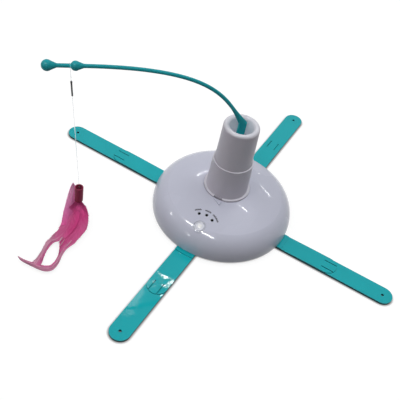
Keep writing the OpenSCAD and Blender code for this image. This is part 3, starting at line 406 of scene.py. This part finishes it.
def polish(material):
    """Exact normals on the round crown and rim, so that lamps are mirrored in clean lines."""
    tree = material.node_tree
    bump = next(n for n in tree.nodes if n.type == "BUMP")
    skin = tree.nodes.new("ShaderNodeNewGeometry")
    place = tree.nodes.new("ShaderNodeTexCoord").outputs["Object"]
    ring = vector_step(tree, "NORMALIZE", vector_step(tree, "MULTIPLY", place, (1, 1, 0)))
    ring = vector_step(tree, "MULTIPLY", ring, (rim_reach, rim_reach, 0))
    ring = vector_step(tree, "ADD", ring, (0, 0, rim_height))
    normal = skin.outputs["Normal"]
    for arm, radius in (
        (vector_step(tree, "SUBTRACT", place, ring), rim_radius),
        (vector_step(tree, "SUBTRACT", place, (0, 0, crown_centre)), crown_radius),
    ):
        outward = vector_step(tree, "NORMALIZE", arm)
        on_skin = number_step(tree, "COMPARE", vector_step(tree, "LENGTH", arm), radius, skin_gap)
        likeness = vector_step(tree, "DOT_PRODUCT", outward, skin.outputs["True Normal"])
        agrees = number_step(tree, "GREATER_THAN", likeness, skin_likeness)
        choice = tree.nodes.new("ShaderNodeMix")
        choice.data_type = "VECTOR"
        tree.links.new(number_step(tree, "MULTIPLY", on_skin, agrees), choice.inputs["Factor"])
        tree.links.new(normal, choice.inputs[4])
        tree.links.new(outward, choice.inputs[5])
        normal = choice.outputs[1]
    tree.links.new(normal, bump.inputs["Normal"])
    tree.links.new(bump.outputs["Normal"], tree.nodes["Principled BSDF"].inputs["Coat Normal"])


polish(dome_gloss)


# Control panel. A glossy cap sits in a groove of the dome, with a fine ring of painted shade and a painted
# highlight that whitens its middle. Three dark light windows stand on an arc above it, and a row of short
# printed ticks outside each window tells the programmes apart.
button_gloss = moulded_plastic("button_gloss", "E2E4EE", 0.24, coat=1.0, drift=0.01, skin=polished_skin)
dress(button_gloss, "push_button")
light_window = moulded_plastic("light_window", "0E0C16", 0.2, shine=0.3, drift=0.2)
dress(light_window, "indicator_leds")

panel_turn = math.radians(-87)
panel_reach = 60.5 * mm
panel_height = 30.8 * mm
panel_tilt = math.radians(26)
cast_height = 12 * mm
panel = (
    Matrix.Rotation(panel_turn, 4, "Z")
    @ Matrix.Translation((panel_reach, 0, panel_height))
    @ Matrix.Rotation(panel_tilt, 4, "Y")
)
panel_out = (panel.to_3x3() @ Vector((0, 0, 1))).normalized()
dome_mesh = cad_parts["upper_dome"].data
dome_skin = BVHTree.FromPolygons(
    [v.co.copy() for v in dome_mesh.vertices],
    [tuple(p.vertices) for p in dome_mesh.polygons],
)


def on_dome(x, y, lift):
    """Point of the dome's skin at a place on the panel, raised by lift."""
    above = panel @ Vector((x, y, cast_height))
    spot = dome_skin.ray_cast(above, -panel_out)[0]
    return spot + panel_out * lift


def spread(tree, value, given, wanted):
    """Value carried from one range to another, held at its ends."""
    step = tree.nodes.new("ShaderNodeMapRange")
    for socket, limit in zip(("From Min", "From Max", "To Min", "To Max"), (*given, *wanted)):
        step.inputs[socket].default_value = limit
    tree.links.new(value, step.inputs["Value"])
    return step.outputs["Result"]


def blend_colour(material, share, colour):
    """Second colour, mixed into the base colour by a share that changes over the surface."""
    tree = material.node_tree
    base = tree.nodes["Principled BSDF"].inputs["Base Color"]
    mix = tree.nodes.new("ShaderNodeMix")
    mix.data_type = "RGBA"
    tree.links.new(share, mix.inputs["Factor"])
    tree.links.new(base.links[0].from_socket, mix.inputs[6])
    mix.inputs[7].default_value = (*srgb(colour), 1)
    tree.links.new(mix.outputs[2], base)


button_ring = 4.7 * mm
button_ring_half = 0.4 * mm
ring_shade_share = 0.8
button_middle = 2.7 * mm
button_middle_full = button_middle * 0.6
button_tree = button_gloss.node_tree
button_place = button_tree.nodes.new("ShaderNodeTexCoord").outputs["Object"]
button_arm = vector_step(button_tree, "SUBTRACT", button_place, tuple(panel.translation))
button_arm = vector_step(button_tree, "CROSS_PRODUCT", button_arm, tuple(panel_out))
button_reach = vector_step(button_tree, "LENGTH", button_arm)
ring_gap = number_step(button_tree, "SUBTRACT", button_reach, button_ring)
ring_gap = number_step(button_tree, "ABSOLUTE", ring_gap, 0.0)
# Painted shade: a grey ring on the cap at its ring radius, as if shaded in a groove.
painted_ring_shade = spread(button_tree, ring_gap, (0, button_ring_half), (ring_shade_share, 0))
blend_colour(button_gloss, painted_ring_shade, "8286A0")
# Painted highlight: the cap's middle is blended to white, as if it mirrored a lamp.
painted_middle_highlight = spread(button_tree, button_reach, (button_middle_full, button_middle), (1, 0))
blend_colour(button_gloss, painted_middle_highlight, "FFFFFF")

tick_ring = 18 * mm
tick_length = 1.9 * mm
tick_short = 0.75
tick_width = 0.74 * mm
tick_root = -0.05 * mm
tick_top = 0.04 * mm
tick_pitch = math.radians(3.05)
tick_rows = [(-33, 7), (0, 7), (33, 10)]
tick_corners = []
tick_faces = []
for row, tick_count in tick_rows:
    for k in range(tick_count):
        turn = math.radians(row) + (k - (tick_count - 1) / 2) * tick_pitch
        outward = Vector((-math.cos(turn), math.sin(turn)))
        beside = Vector((outward.y, -outward.x))
        first = len(tick_corners)
        length = tick_length * (1 if k % 2 else tick_short)
        for lift in (tick_root, tick_top):
            for reach, side in ((0, -1), (0, 1), (1, 1), (1, -1)):
                at = outward * (tick_ring + reach * length) + beside * side * tick_width / 2
                tick_corners.append(on_dome(at.x, at.y, lift))
        for face in ((3, 2, 1, 0), (4, 5, 6, 7), (0, 1, 5, 4), (1, 2, 6, 5), (2, 3, 7, 6), (3, 0, 4, 7)):
            tick_faces.append([first + i for i in face])
tick_mesh = bpy.data.meshes.new("panel_ticks")
tick_mesh.from_pydata(tick_corners, [], tick_faces)
panel_ticks = bpy.data.objects.new("panel_ticks", tick_mesh)
bpy.context.scene.collection.objects.link(panel_ticks)
tick_ink = moulded_plastic("tick_ink", "2F2B38", 0.5, shine=0.2, drift=0.15)
tick_mesh.materials.append(tick_ink)
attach(panel_ticks, "base")


# Legs. Four flat strips of glossy teal plastic, each of two lengths that clip together with a round
# lap and two slits. The strips are a little wavy, as thin mouldings are, and most of all at the laps,
# which breaks up their gloss.
leg_teal = moulded_plastic("leg_teal", "12B2BA", 0.05, shine=0.22, drift=0.035, skin=(80, 0.4, 0.1))


def facing_up(tree):
    """How far the surface looks up: 1 on top, 0 on a wall."""
    skin = tree.nodes.new("ShaderNodeNewGeometry")
    parts = tree.nodes.new("ShaderNodeSeparateXYZ")
    tree.links.new(skin.outputs["True Normal"], parts.inputs[0])
    return parts.outputs["Z"]


lap_centre = 128 * mm
lap_half = 15 * mm
lap_blend = 6 * mm
lap_relief = 0.36
lap_wave_scale = 180
lap_wave_depth = 0.3 * mm
wall_shade_turn = (0.3, 0.9)
leg_tree = leg_teal.node_tree
leg_place = leg_tree.nodes.new("ShaderNodeTexCoord").outputs["Object"]
leg_reach = vector_step(leg_tree, "LENGTH", vector_step(leg_tree, "MULTIPLY", leg_place, (1, 1, 0)))
lap_gap = number_step(leg_tree, "SUBTRACT", leg_reach, lap_centre)
lap_gap = number_step(leg_tree, "ABSOLUTE", lap_gap, 0.0)
lap_wave = leg_tree.nodes.new("ShaderNodeTexNoise")
lap_wave.inputs["Scale"].default_value = lap_wave_scale
lap_wave.inputs["Detail"].default_value = 0
lap_bump = leg_tree.nodes.new("ShaderNodeBump")
lap_bump.inputs["Distance"].default_value = lap_wave_depth
leg_shader = leg_tree.nodes["Principled BSDF"]
leg_tree.links.new(leg_place, lap_wave.inputs["Vector"])
leg_tree.links.new(lap_wave.outputs["Fac"], lap_bump.inputs["Height"])
lap_strength = spread(leg_tree, lap_gap, (lap_half - lap_blend, lap_half), (lap_relief, 0))
leg_tree.links.new(lap_strength, lap_bump.inputs["Strength"])
leg_tree.links.new(leg_shader.inputs["Normal"].links[0].from_socket, lap_bump.inputs["Normal"])
leg_tree.links.new(lap_bump.outputs["Normal"], leg_shader.inputs["Normal"])
# Painted shade: the strips' side walls, which face sideways, are blended to a deep teal as if in shadow.
blend_colour(leg_teal, spread(leg_tree, facing_up(leg_tree), wall_shade_turn, (1, 0)), "056368")
for side in ("right", "back", "left", "front"):
    dress(leg_teal, f"leg_{side}_inner", f"leg_{side}_outer")


# Tower and turning head. Both are tapered tubes of the dome's plastic with a satin outside. The
# column locks into the dome with its foot flange, and the head turns inside the column's top.
tower_satin = moulded_plastic("tower_satin", "CFCAD4", 0.42, shine=0.3, drift=0.015, skin=(900, 0.01, 0.1))
dress(tower_satin, "tower_column", "rotating_head")

cup_mouth = 12.4 * mm
cup_blend = 0.8 * mm
ledge_turn = (0.25, 0.85)
ledge_share = 0.65
tower_tree = tower_satin.node_tree
tower_place = tower_tree.nodes.new("ShaderNodeTexCoord").outputs["Object"]
tower_reach = vector_step(tower_tree, "LENGTH", vector_step(tower_tree, "MULTIPLY", tower_place, (1, 1, 0)))
# Painted light: the inside of the head's cup is whitened, as if lit through its walls.
painted_cup_light = spread(tower_tree, tower_reach, (cup_mouth, cup_mouth + cup_blend), (1, 0))
# Painted light: faces that look up, such as the ledges and the cup's rim, are whitened as if lit from
# above.
painted_ledge_light = spread(tower_tree, facing_up(tower_tree), ledge_turn, (0, ledge_share))
blend_colour(tower_satin, number_step(tower_tree, "MAXIMUM", painted_ledge_light, painted_cup_light), "EAEBF2")


# Wand. A flexible teal rod in one piece with its flat root and the two balls that keep the line's
# loop on the neck between them. It is moulded from soft plastic, so its gloss is dull.
wand_teal = moulded_plastic("wand_teal", "1CA2AB", 0.34, shine=0.15, drift=0.06, skin=(500, 0.03, 0.2))
dress(wand_teal, "wand")


# Line. Clear nylon is doubled over the wand's neck, held in a dark sleeve and runs straight down into
# the ferrule, where it is glued among the quills.
wand_turn = Matrix.Rotation(math.radians(220), 4, "Z")
neck_reach = 165.65 * mm
neck_height = 189 * mm
neck_radius = 1.89 * mm
line_diameter = 0.6 * mm
ferrule_lean = 12 * mm
ferrule_top = 41 * mm
lure_aside = 1 * mm
quill_top = 34 * mm
line_fall = neck_height - ferrule_top
line_lean = math.atan2(ferrule_lean, line_fall)
line_frame = (
    wand_turn
    @ Matrix.Translation((neck_reach, 0, neck_height))
    @ Matrix.Rotation(line_lean, 4, "Y")
    @ Matrix.Rotation(math.atan2(lure_aside, line_fall), 4, "X")
)


def clear_nylon(name):
    material, tree, shader = new_finish(name)
    noise, ramp = mottle(tree, 700, (0.79, 0.81, 0.82), (0.86, 0.88, 0.89))
    tree.links.new(ramp.outputs["Color"], shader.inputs["Base Color"])
    vary_roughness(tree, shader, noise, 0.08, 0.2)
    shader.inputs["IOR"].default_value = 1.1
    shader.inputs["Transmission Weight"].default_value = 0.94
    return material


def lay_line(name, points, material):
    """Round line through the points, and its length."""
    line = bpy.data.curves.new(name, "CURVE")
    line.dimensions = "3D"
    line.bevel_depth = line_diameter / 2
    line.bevel_resolution = 4
    line.use_fill_caps = True
    run = line.splines.new("POLY")
    run.points.add(len(points) - 1)
    for knot, point in zip(run.points, points):
        knot.co = (*point, 1)
    line.materials.append(material)
    piece = bpy.data.objects.new(name, line)
    bpy.context.scene.collection.objects.link(piece)
    length = sum((b - a).length for a, b in zip(points, points[1:]))
    return piece, length


nylon = clear_nylon("nylon")
sleeve_dark = moulded_plastic("sleeve_dark", "4A4A4C", 0.4, drift=0.12)
dress(sleeve_dark, "line_crimp")

loop_drop = 17.6 * mm
neck_play = 0.15 * mm
loop_radius = neck_radius + neck_play + line_diameter / 2
loop_shoulder = loop_radius * 2.4
strand_play = 0.05 * mm
strand_half = line_diameter / 2 + strand_play
sleeve_eye = 0.95 * mm
eye_play = 0.12 * mm
loop_bottom = -loop_drop + sleeve_eye + eye_play
half_loop = [
    (strand_half, loop_bottom),
    (strand_half, loop_bottom + 2 * mm),
    (strand_half * 1.6, loop_bottom + 5 * mm),
]
over_neck = []
for step in range(-30, 211, 15):
    turn = math.radians(step)
    rise = loop_radius if 0 <= step <= 180 else loop_shoulder
    over_neck.append((-loop_radius * math.cos(turn), rise * math.sin(turn)))
loop_outline = [(-y, z) for y, z in half_loop] + over_neck + half_loop[::-1]
loop_points = [line_frame @ Vector((0, y, z)) for y, z in loop_outline]
line_loop, loop_length = lay_line("line_loop_cord", loop_points, nylon)
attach(line_loop, "loop")
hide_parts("line_loop")

sleeve_length = 14.95 * mm
line_start = loop_drop + sleeve_length
line_end = (neck_height - quill_top) / math.cos(line_lean)
line_route = [0, 6, 13, 21, 29, 37, 45, 53, 61, 69, 77, 85, 93, 101, 108, 114, 118, 122]
line_stretch = (line_end - line_start) / line_route[-1]
line_points = [line_frame @ Vector((0, 0, -line_start - d * line_stretch)) for d in line_route]
hanging_line, hanging_length = lay_line("hanging_line_cord", line_points, nylon)
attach(hanging_line, "lure")
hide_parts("hanging_line")


# Ferrule and quills. A maroon plastic sleeve, open at the top, grips the glued quills of the
# feathers, and the line goes in at its open end.
ferrule_maroon = moulded_plastic(
    "ferrule_maroon", "A2425E", 0.5, shine=0.08, drift=0.12, skin=(600, 0.03, 0.25),
)
dress(ferrule_maroon, "feather_ferrule")
quill_glue = moulded_plastic("quill_glue", "8A3A5C", 0.55, shine=0.2, drift=0.2, skin=(700, 0.2, 0.5))
dress(quill_glue, "quill_bundle")


# Feathers. Dyed pink feathers hang from the ferrule to the floor. Fine barbs grow from their quills
# and hook into a soft vane, which opens into two strands round a gap and runs out in a thin tail.
lure_frame = wand_turn @ Matrix.Translation((neck_reach - ferrule_lean, lure_aside, 0))

vane_left = [
    (0.3, 0, 24.5, 1.6, 0), (1.2, 1.2, 19, 4, 0), (3.4, 3.4, 14.4, 6.8, 0), (6.2, 9, 9.6, 9.2, 0),
    (9.6, 18, 6.8, 9.5, 0), (13.8, 26, 5.4, 9, 0), (20.4, 34, 4.8, 8, -12), (25.4, 37.8, 4.7, 5.6, -14),
    (29.7, 40.2, 4.6, 4, -14), (34.8, 49.2, 4.5, 2.8, -3), (39.1, 58.4, 4.4, 3.5, 3),
    (42.7, 65, 4.4, 5, -10), (45.2, 68.5, 4.4, 4, -30),
]
vane_right = [
    (-0.3, 0, 24.3, 1.6, 0), (-0.8, 1.2, 18.8, 3.8, 0), (-2.2, 3.4, 14.1, 6.2, 0), (-2.4, 9, 9.2, 8.2, 0),
    (-1.2, 18, 6.4, 8.7, 0), (1.6, 26, 5.1, 9.2, 0), (8.2, 34, 4.6, 9, -12), (11.8, 38.5, 4.6, 9.2, -10),
    (13.4, 43.5, 4.6, 8, -2), (17.6, 51, 4.5, 4, 10), (20.4, 57.5, 4.4, 2.3, -2), (24.2, 66, 4.4, 2.5, -26),
    (28.8, 71.6, 4.4, 3.1, -52), (33, 72.8, 4.4, 3.5, -85), (38.4, 71.4, 4.4, 3.2, -118),
    (48.4, 66, 4.4, 2.2, -122), (56.4, 61, 4.4, 1.5, -128), (60.2, 56.8, 4.4, 0.5, -138),
]
crease_shares = (0, 0.25, 0.5, 0.75, 1)
crease_widths = [w * mm for w in (0.1, 0.3, 0.35, 0.25, 0.1)]
crease_rise = 0.2 * mm
plume_creases = [
    ((22, 43.3, 5.4), (16.8, 35.1, 6.2)), ((20.6, 46.6, 5.2), (15.4, 38.4, 6.1)),
    ((21.1, 40.8, 5.5), (17.8, 35.2, 6.2)), ((14.4, 47.5, 5.2), (8.1, 39.4, 5.7)),
]
vane_wisp = [
    (13.4, 20, 6.2, 5.2, 0), (11.8, 13.6, 7.5, 5.8, 0), (9.6, 6.4, 11.6, 6.2, 0), (7.9, 1.2, 15.4, 6.2, 0),
    (6.6, -5, 19.6, 5.2, 0), (5.8, -8.4, 22.3, 4.6, 0), (5, -12.2, 26.6, 3.5, 0), (5, -14.2, 29.2, 1.9, 0),
    (5, -15.2, 31, 0.5, 0),
]

least_half = 0.25
tint_floor = 0.2
spine_steps = 60
barb_shares = (0, 0.2, 0.4, 0.6, 0.8, 1)
barb_taper = (0.8, 1, 1, 0.85, 0.6, 0.25)
shortest_barb = 0.4 * mm


def station_at(stations, u):
    """Place, half width and turn at a share of the feather's length, on a smooth curve."""
    spot = min(max(u, 0), 1) * (len(stations) - 1)
    i = min(int(spot), len(stations) - 2)
    f = spot - i
    before = stations[max(i - 1, 0)]
    after = stations[min(i + 2, len(stations) - 1)]
    blended = []
    for a, b, c, d in zip(before, stations[i], stations[i + 1], after):
        blended.append(b + 0.5 * f * (c - a + f * (2 * a - 5 * b + 4 * c - d + f * (3 * (b - c) + d - a))))
    return blended


def vane_point(stations, u, v, lift, crumple):
    """Point of the vane at a share u of its length and v of its half width, with its soft creases."""
    x, y, z, half, turn = station_at(stations, u)
    wave = (
        math.sin(9 * u + 2.6 * v) * 0.5
        + math.sin(21 * u - 4.1 * v + 1.3) * 0.3
        + math.sin(5.2 * v + 3 * u) * 0.35
    )
    side = v * max(half, least_half)
    angle = math.radians(turn)
    return Vector((
        x + side * math.cos(angle),
        y + side * math.sin(angle),
        z + lift + crumple * wave,
    )) * mm


def ramp_place(tone):
    """Place of a tone on the dye's ramp, where the painted root light comes before the floor."""
    return tint_floor + (1 - tint_floor) * tone


def add_strip(corners, faces, tints, points, widths, thickness, tint):
    """Three-sided barb or quill along points, closed at both ends."""
    first = len(corners)
    for i, point in enumerate(points):
        heading = (points[min(i + 1, len(points) - 1)] - points[max(i - 1, 0)]).normalized()
        beside = heading.cross(Vector((0, 0, 1)))
        beside = beside.normalized() if beside.length > 0.05 else Vector((1, 0, 0))
        above = beside.cross(heading)
        corners.append(point + beside * widths[i])
        corners.append(point - beside * widths[i])
        corners.append(point + above * thickness)
        tints.extend([ramp_place(tint(i / (len(points) - 1)))] * 3)
    for i in range(len(points) - 1):
        ring = first + 3 * i
        for j in range(3):
            k = (j + 1) % 3
            faces.append((ring + j, ring + k, ring + 3 + k, ring + 3 + j))
    last = first + 3 * (len(points) - 1)
    faces.append((first + 2, first + 1, first))
    faces.append((last, last + 1, last + 2))


def add_vane(corners, faces, tints, stations, crumple, tone, steps=90, lanes=14):
    """Thin closed sheet under the barbs, so that the vane is dense."""
    first = len(corners)
    for lift in (-0.2, 0.1):
        for i in range(steps + 1):
            for j in range(lanes + 1):
                v = (2 * j / lanes - 1) * 0.9
                corners.append(lure_frame @ vane_point(stations, i / steps, v, lift, crumple))
                streak = 0.04 * math.sin(37 * v + 11 * i / steps)
                tints.append(ramp_place(tone(i / steps, v) + streak))
    row = lanes + 1
    layer = row * (steps + 1)
    for i in range(steps):
        for j in range(lanes):
            a = first + i * row + j
            faces.append((a, a + row, a + row + 1, a + 1))
            b = a + layer
            faces.append((b, b + 1, b + row + 1, b + row))
    rim = [first + j for j in range(lanes)]
    rim += [first + i * row + lanes for i in range(steps)]
    rim += [first + steps * row + j for j in range(lanes, 0, -1)]
    rim += [first + i * row for i in range(steps, 0, -1)]
    for a, b in zip(rim, rim[1:] + rim[:1]):
        faces.append((a, b, b + layer, a + layer))


def grow_barbs(corners, faces, tints, stations, count, slant, crumple, tone, chance):
    """Quill and barbs to both sides of it, swept towards the tip, a few of them loose at the edge."""
    spine_shares = [i / spine_steps for i in range(spine_steps + 1)]
    spine = [lure_frame @ vane_point(stations, q, 0, 0.2, crumple) for q in spine_shares]
    thick = [(0.5 - 0.35 * q) * mm for q in spine_shares]
    add_strip(
        corners, faces, tints, spine, thick, 0.3 * mm,
        lambda q: tone(q, 0) + 0.06 + 0.25 * min(1, max(0, 4 * q - 1.2)),
    )
    for side in (-1, 1):
        for k in range(count):
            u = (k + chance.uniform(-0.3, 0.3)) / count
            lean = slant * chance.uniform(0.75, 1.25)
            length = chance.uniform(0.86, 1.05)
            lift = chance.uniform(0.08, 0.2)
            bend = chance.uniform(-0.02, 0.02)
            points = []
            for q in barb_shares:
                along = u + lean * q ** 0.85 + bend * math.sin(math.pi * q)
                knot = vane_point(stations, along, side * length * q, lift + 0.1 * q, crumple)
                points.append(lure_frame @ knot)
            if (points[-1] - points[0]).length < shortest_barb:
                continue
            half = chance.uniform(0.16, 0.34) * mm
            widths = [half * w for w in barb_taper]
            shade = chance.uniform(-0.09, 0.09)
            add_strip(
                corners, faces, tints, points, widths, 0.05 * mm,
                lambda q: tone(u + lean * q, side * length * q) + shade,
            )


def feather_piece(name, blades, creases, material, seed):
    """One feather of several blades, as a single mesh that carries its tint."""
    chance = random.Random(seed)
    corners = []
    faces = []
    tints = []
    for stations, count, slant, crumple, tone in blades:
        add_vane(corners, faces, tints, stations, crumple, tone)
        grow_barbs(corners, faces, tints, stations, count, slant, crumple, tone, chance)
    for ends in creases:
        start, end = (lure_frame @ (Vector(e) * mm) for e in ends)
        run = [start.lerp(end, q) for q in crease_shares]
        add_strip(corners, faces, tints, run, crease_widths, crease_rise, lambda q: 1.0)
    mesh = bpy.data.meshes.new(name)
    mesh.from_pydata(corners, [], faces)
    tint = mesh.attributes.new("tint", "FLOAT", "POINT")
    tint.data.foreach_set("value", tints)
    mesh.polygons.foreach_set("use_smooth", [True] * len(mesh.polygons))
    mesh.materials.append(material)
    piece = bpy.data.objects.new(name, mesh)
    bpy.context.scene.collection.objects.link(piece)
    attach(piece, "lure")
    return piece


def dyed_feather(name, root_light, deep, middle, pale, lift):
    """Dye from a painted root light to the pale strands, on barbs whose sides all catch the light from
    above.
    """
    material, tree, shader = new_finish(name)
    tint = tree.nodes.new("ShaderNodeAttribute")
    tint.attribute_name = "tint"
    ramp = tree.nodes.new("ShaderNodeValToRGB")
    ramp.color_ramp.elements[0].color = (*srgb(root_light), 1)
    ramp.color_ramp.elements[1].color = (*srgb(pale), 1)
    for place, dye in ((tint_floor, deep), (0.6, middle)):
        ramp.color_ramp.elements.new(place).color = (*srgb(dye), 1)
    tree.links.new(tint.outputs["Fac"], ramp.inputs["Fac"])
    tree.links.new(ramp.outputs["Color"], shader.inputs["Base Color"])
    shader.inputs["Roughness"].default_value = 0.7
    shader.inputs["Specular IOR Level"].default_value = 0.15
    shader.inputs["Sheen Weight"].default_value = 0.1
    shader.inputs["Sheen Roughness"].default_value = 0.4
    grain(tree, shader, 2600, 0.06 * mm, 0.4)
    skin = tree.nodes.new("ShaderNodeNewGeometry")
    lifted = vector_step(tree, "ADD", skin.outputs["Normal"], (0, 0, lift))
    bump = next(n for n in tree.nodes if n.type == "BUMP")
    tree.links.new(vector_step(tree, "NORMALIZE", lifted), bump.inputs["Normal"])
    return material


fade_start = 0.42
fade_run = 0.16
root_end = 0.26
root_run = 0.12
root_light_share = 0.34
heel_end = 0.35
heel_light_share = 0.3


def fade(u):
    """0 over the body of the plume, 1 over its strands."""
    return min(1, max(0, (u - fade_start) / fade_run))


def root(u):
    """1 where the plume leaves the ferrule, 0 over its body."""
    return min(1, max(0, (root_end - u) / root_run))


def heel(u):
    """1 at the lower end of the wisp, where it lies on the plume, 0 above."""
    return max(0, 1 - u / heel_end)


# Painted light: near the ferrule, where its shadow falls, the plume's tone is pulled down the ramp to the
# lighter root colour.
def right_tone(u, v):
    return 0.17 - 0.16 * v + 0.47 * fade(u) - root_light_share * root(u)


def left_tone(u, v):
    return 0.2 + 0.28 * v + 0.44 * fade(u) - root_light_share * root(u)


# Painted light: the wisp's lower end, where it lies on the plume's root, is pulled to the same lighter root
# colour.
def wisp_tone(u, v):
    return max(0, 0.3 + 0.2 * v + 0.45 * u - heel_light_share * heel(u))


feather_pink = dyed_feather("feather_pink", "FF63AE", "DB438A", "E274A8", "E2BACA", 0.9)
plume = feather_piece(
    "plume_feather", [(vane_right, 210, 0.07, 0.7, right_tone), (vane_left, 190, 0.09, 0.7, left_tone)],
    plume_creases, feather_pink, 11,
)
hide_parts("feather_plume")
# The wisp's dye is lighter than the plume's: partly its own paler colour, and partly painted light that
# lifts its steep face.
wisp_pink = dyed_feather("wisp_pink", "FF60B0", "EC55A0", "FB88C8", "FBC8E2", 2.2)
wisp = feather_piece("wisp_feather", [(vane_wisp, 120, 0.14, 0.3, wisp_tone)], [], wisp_pink, 12)
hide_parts("feather_wisp")
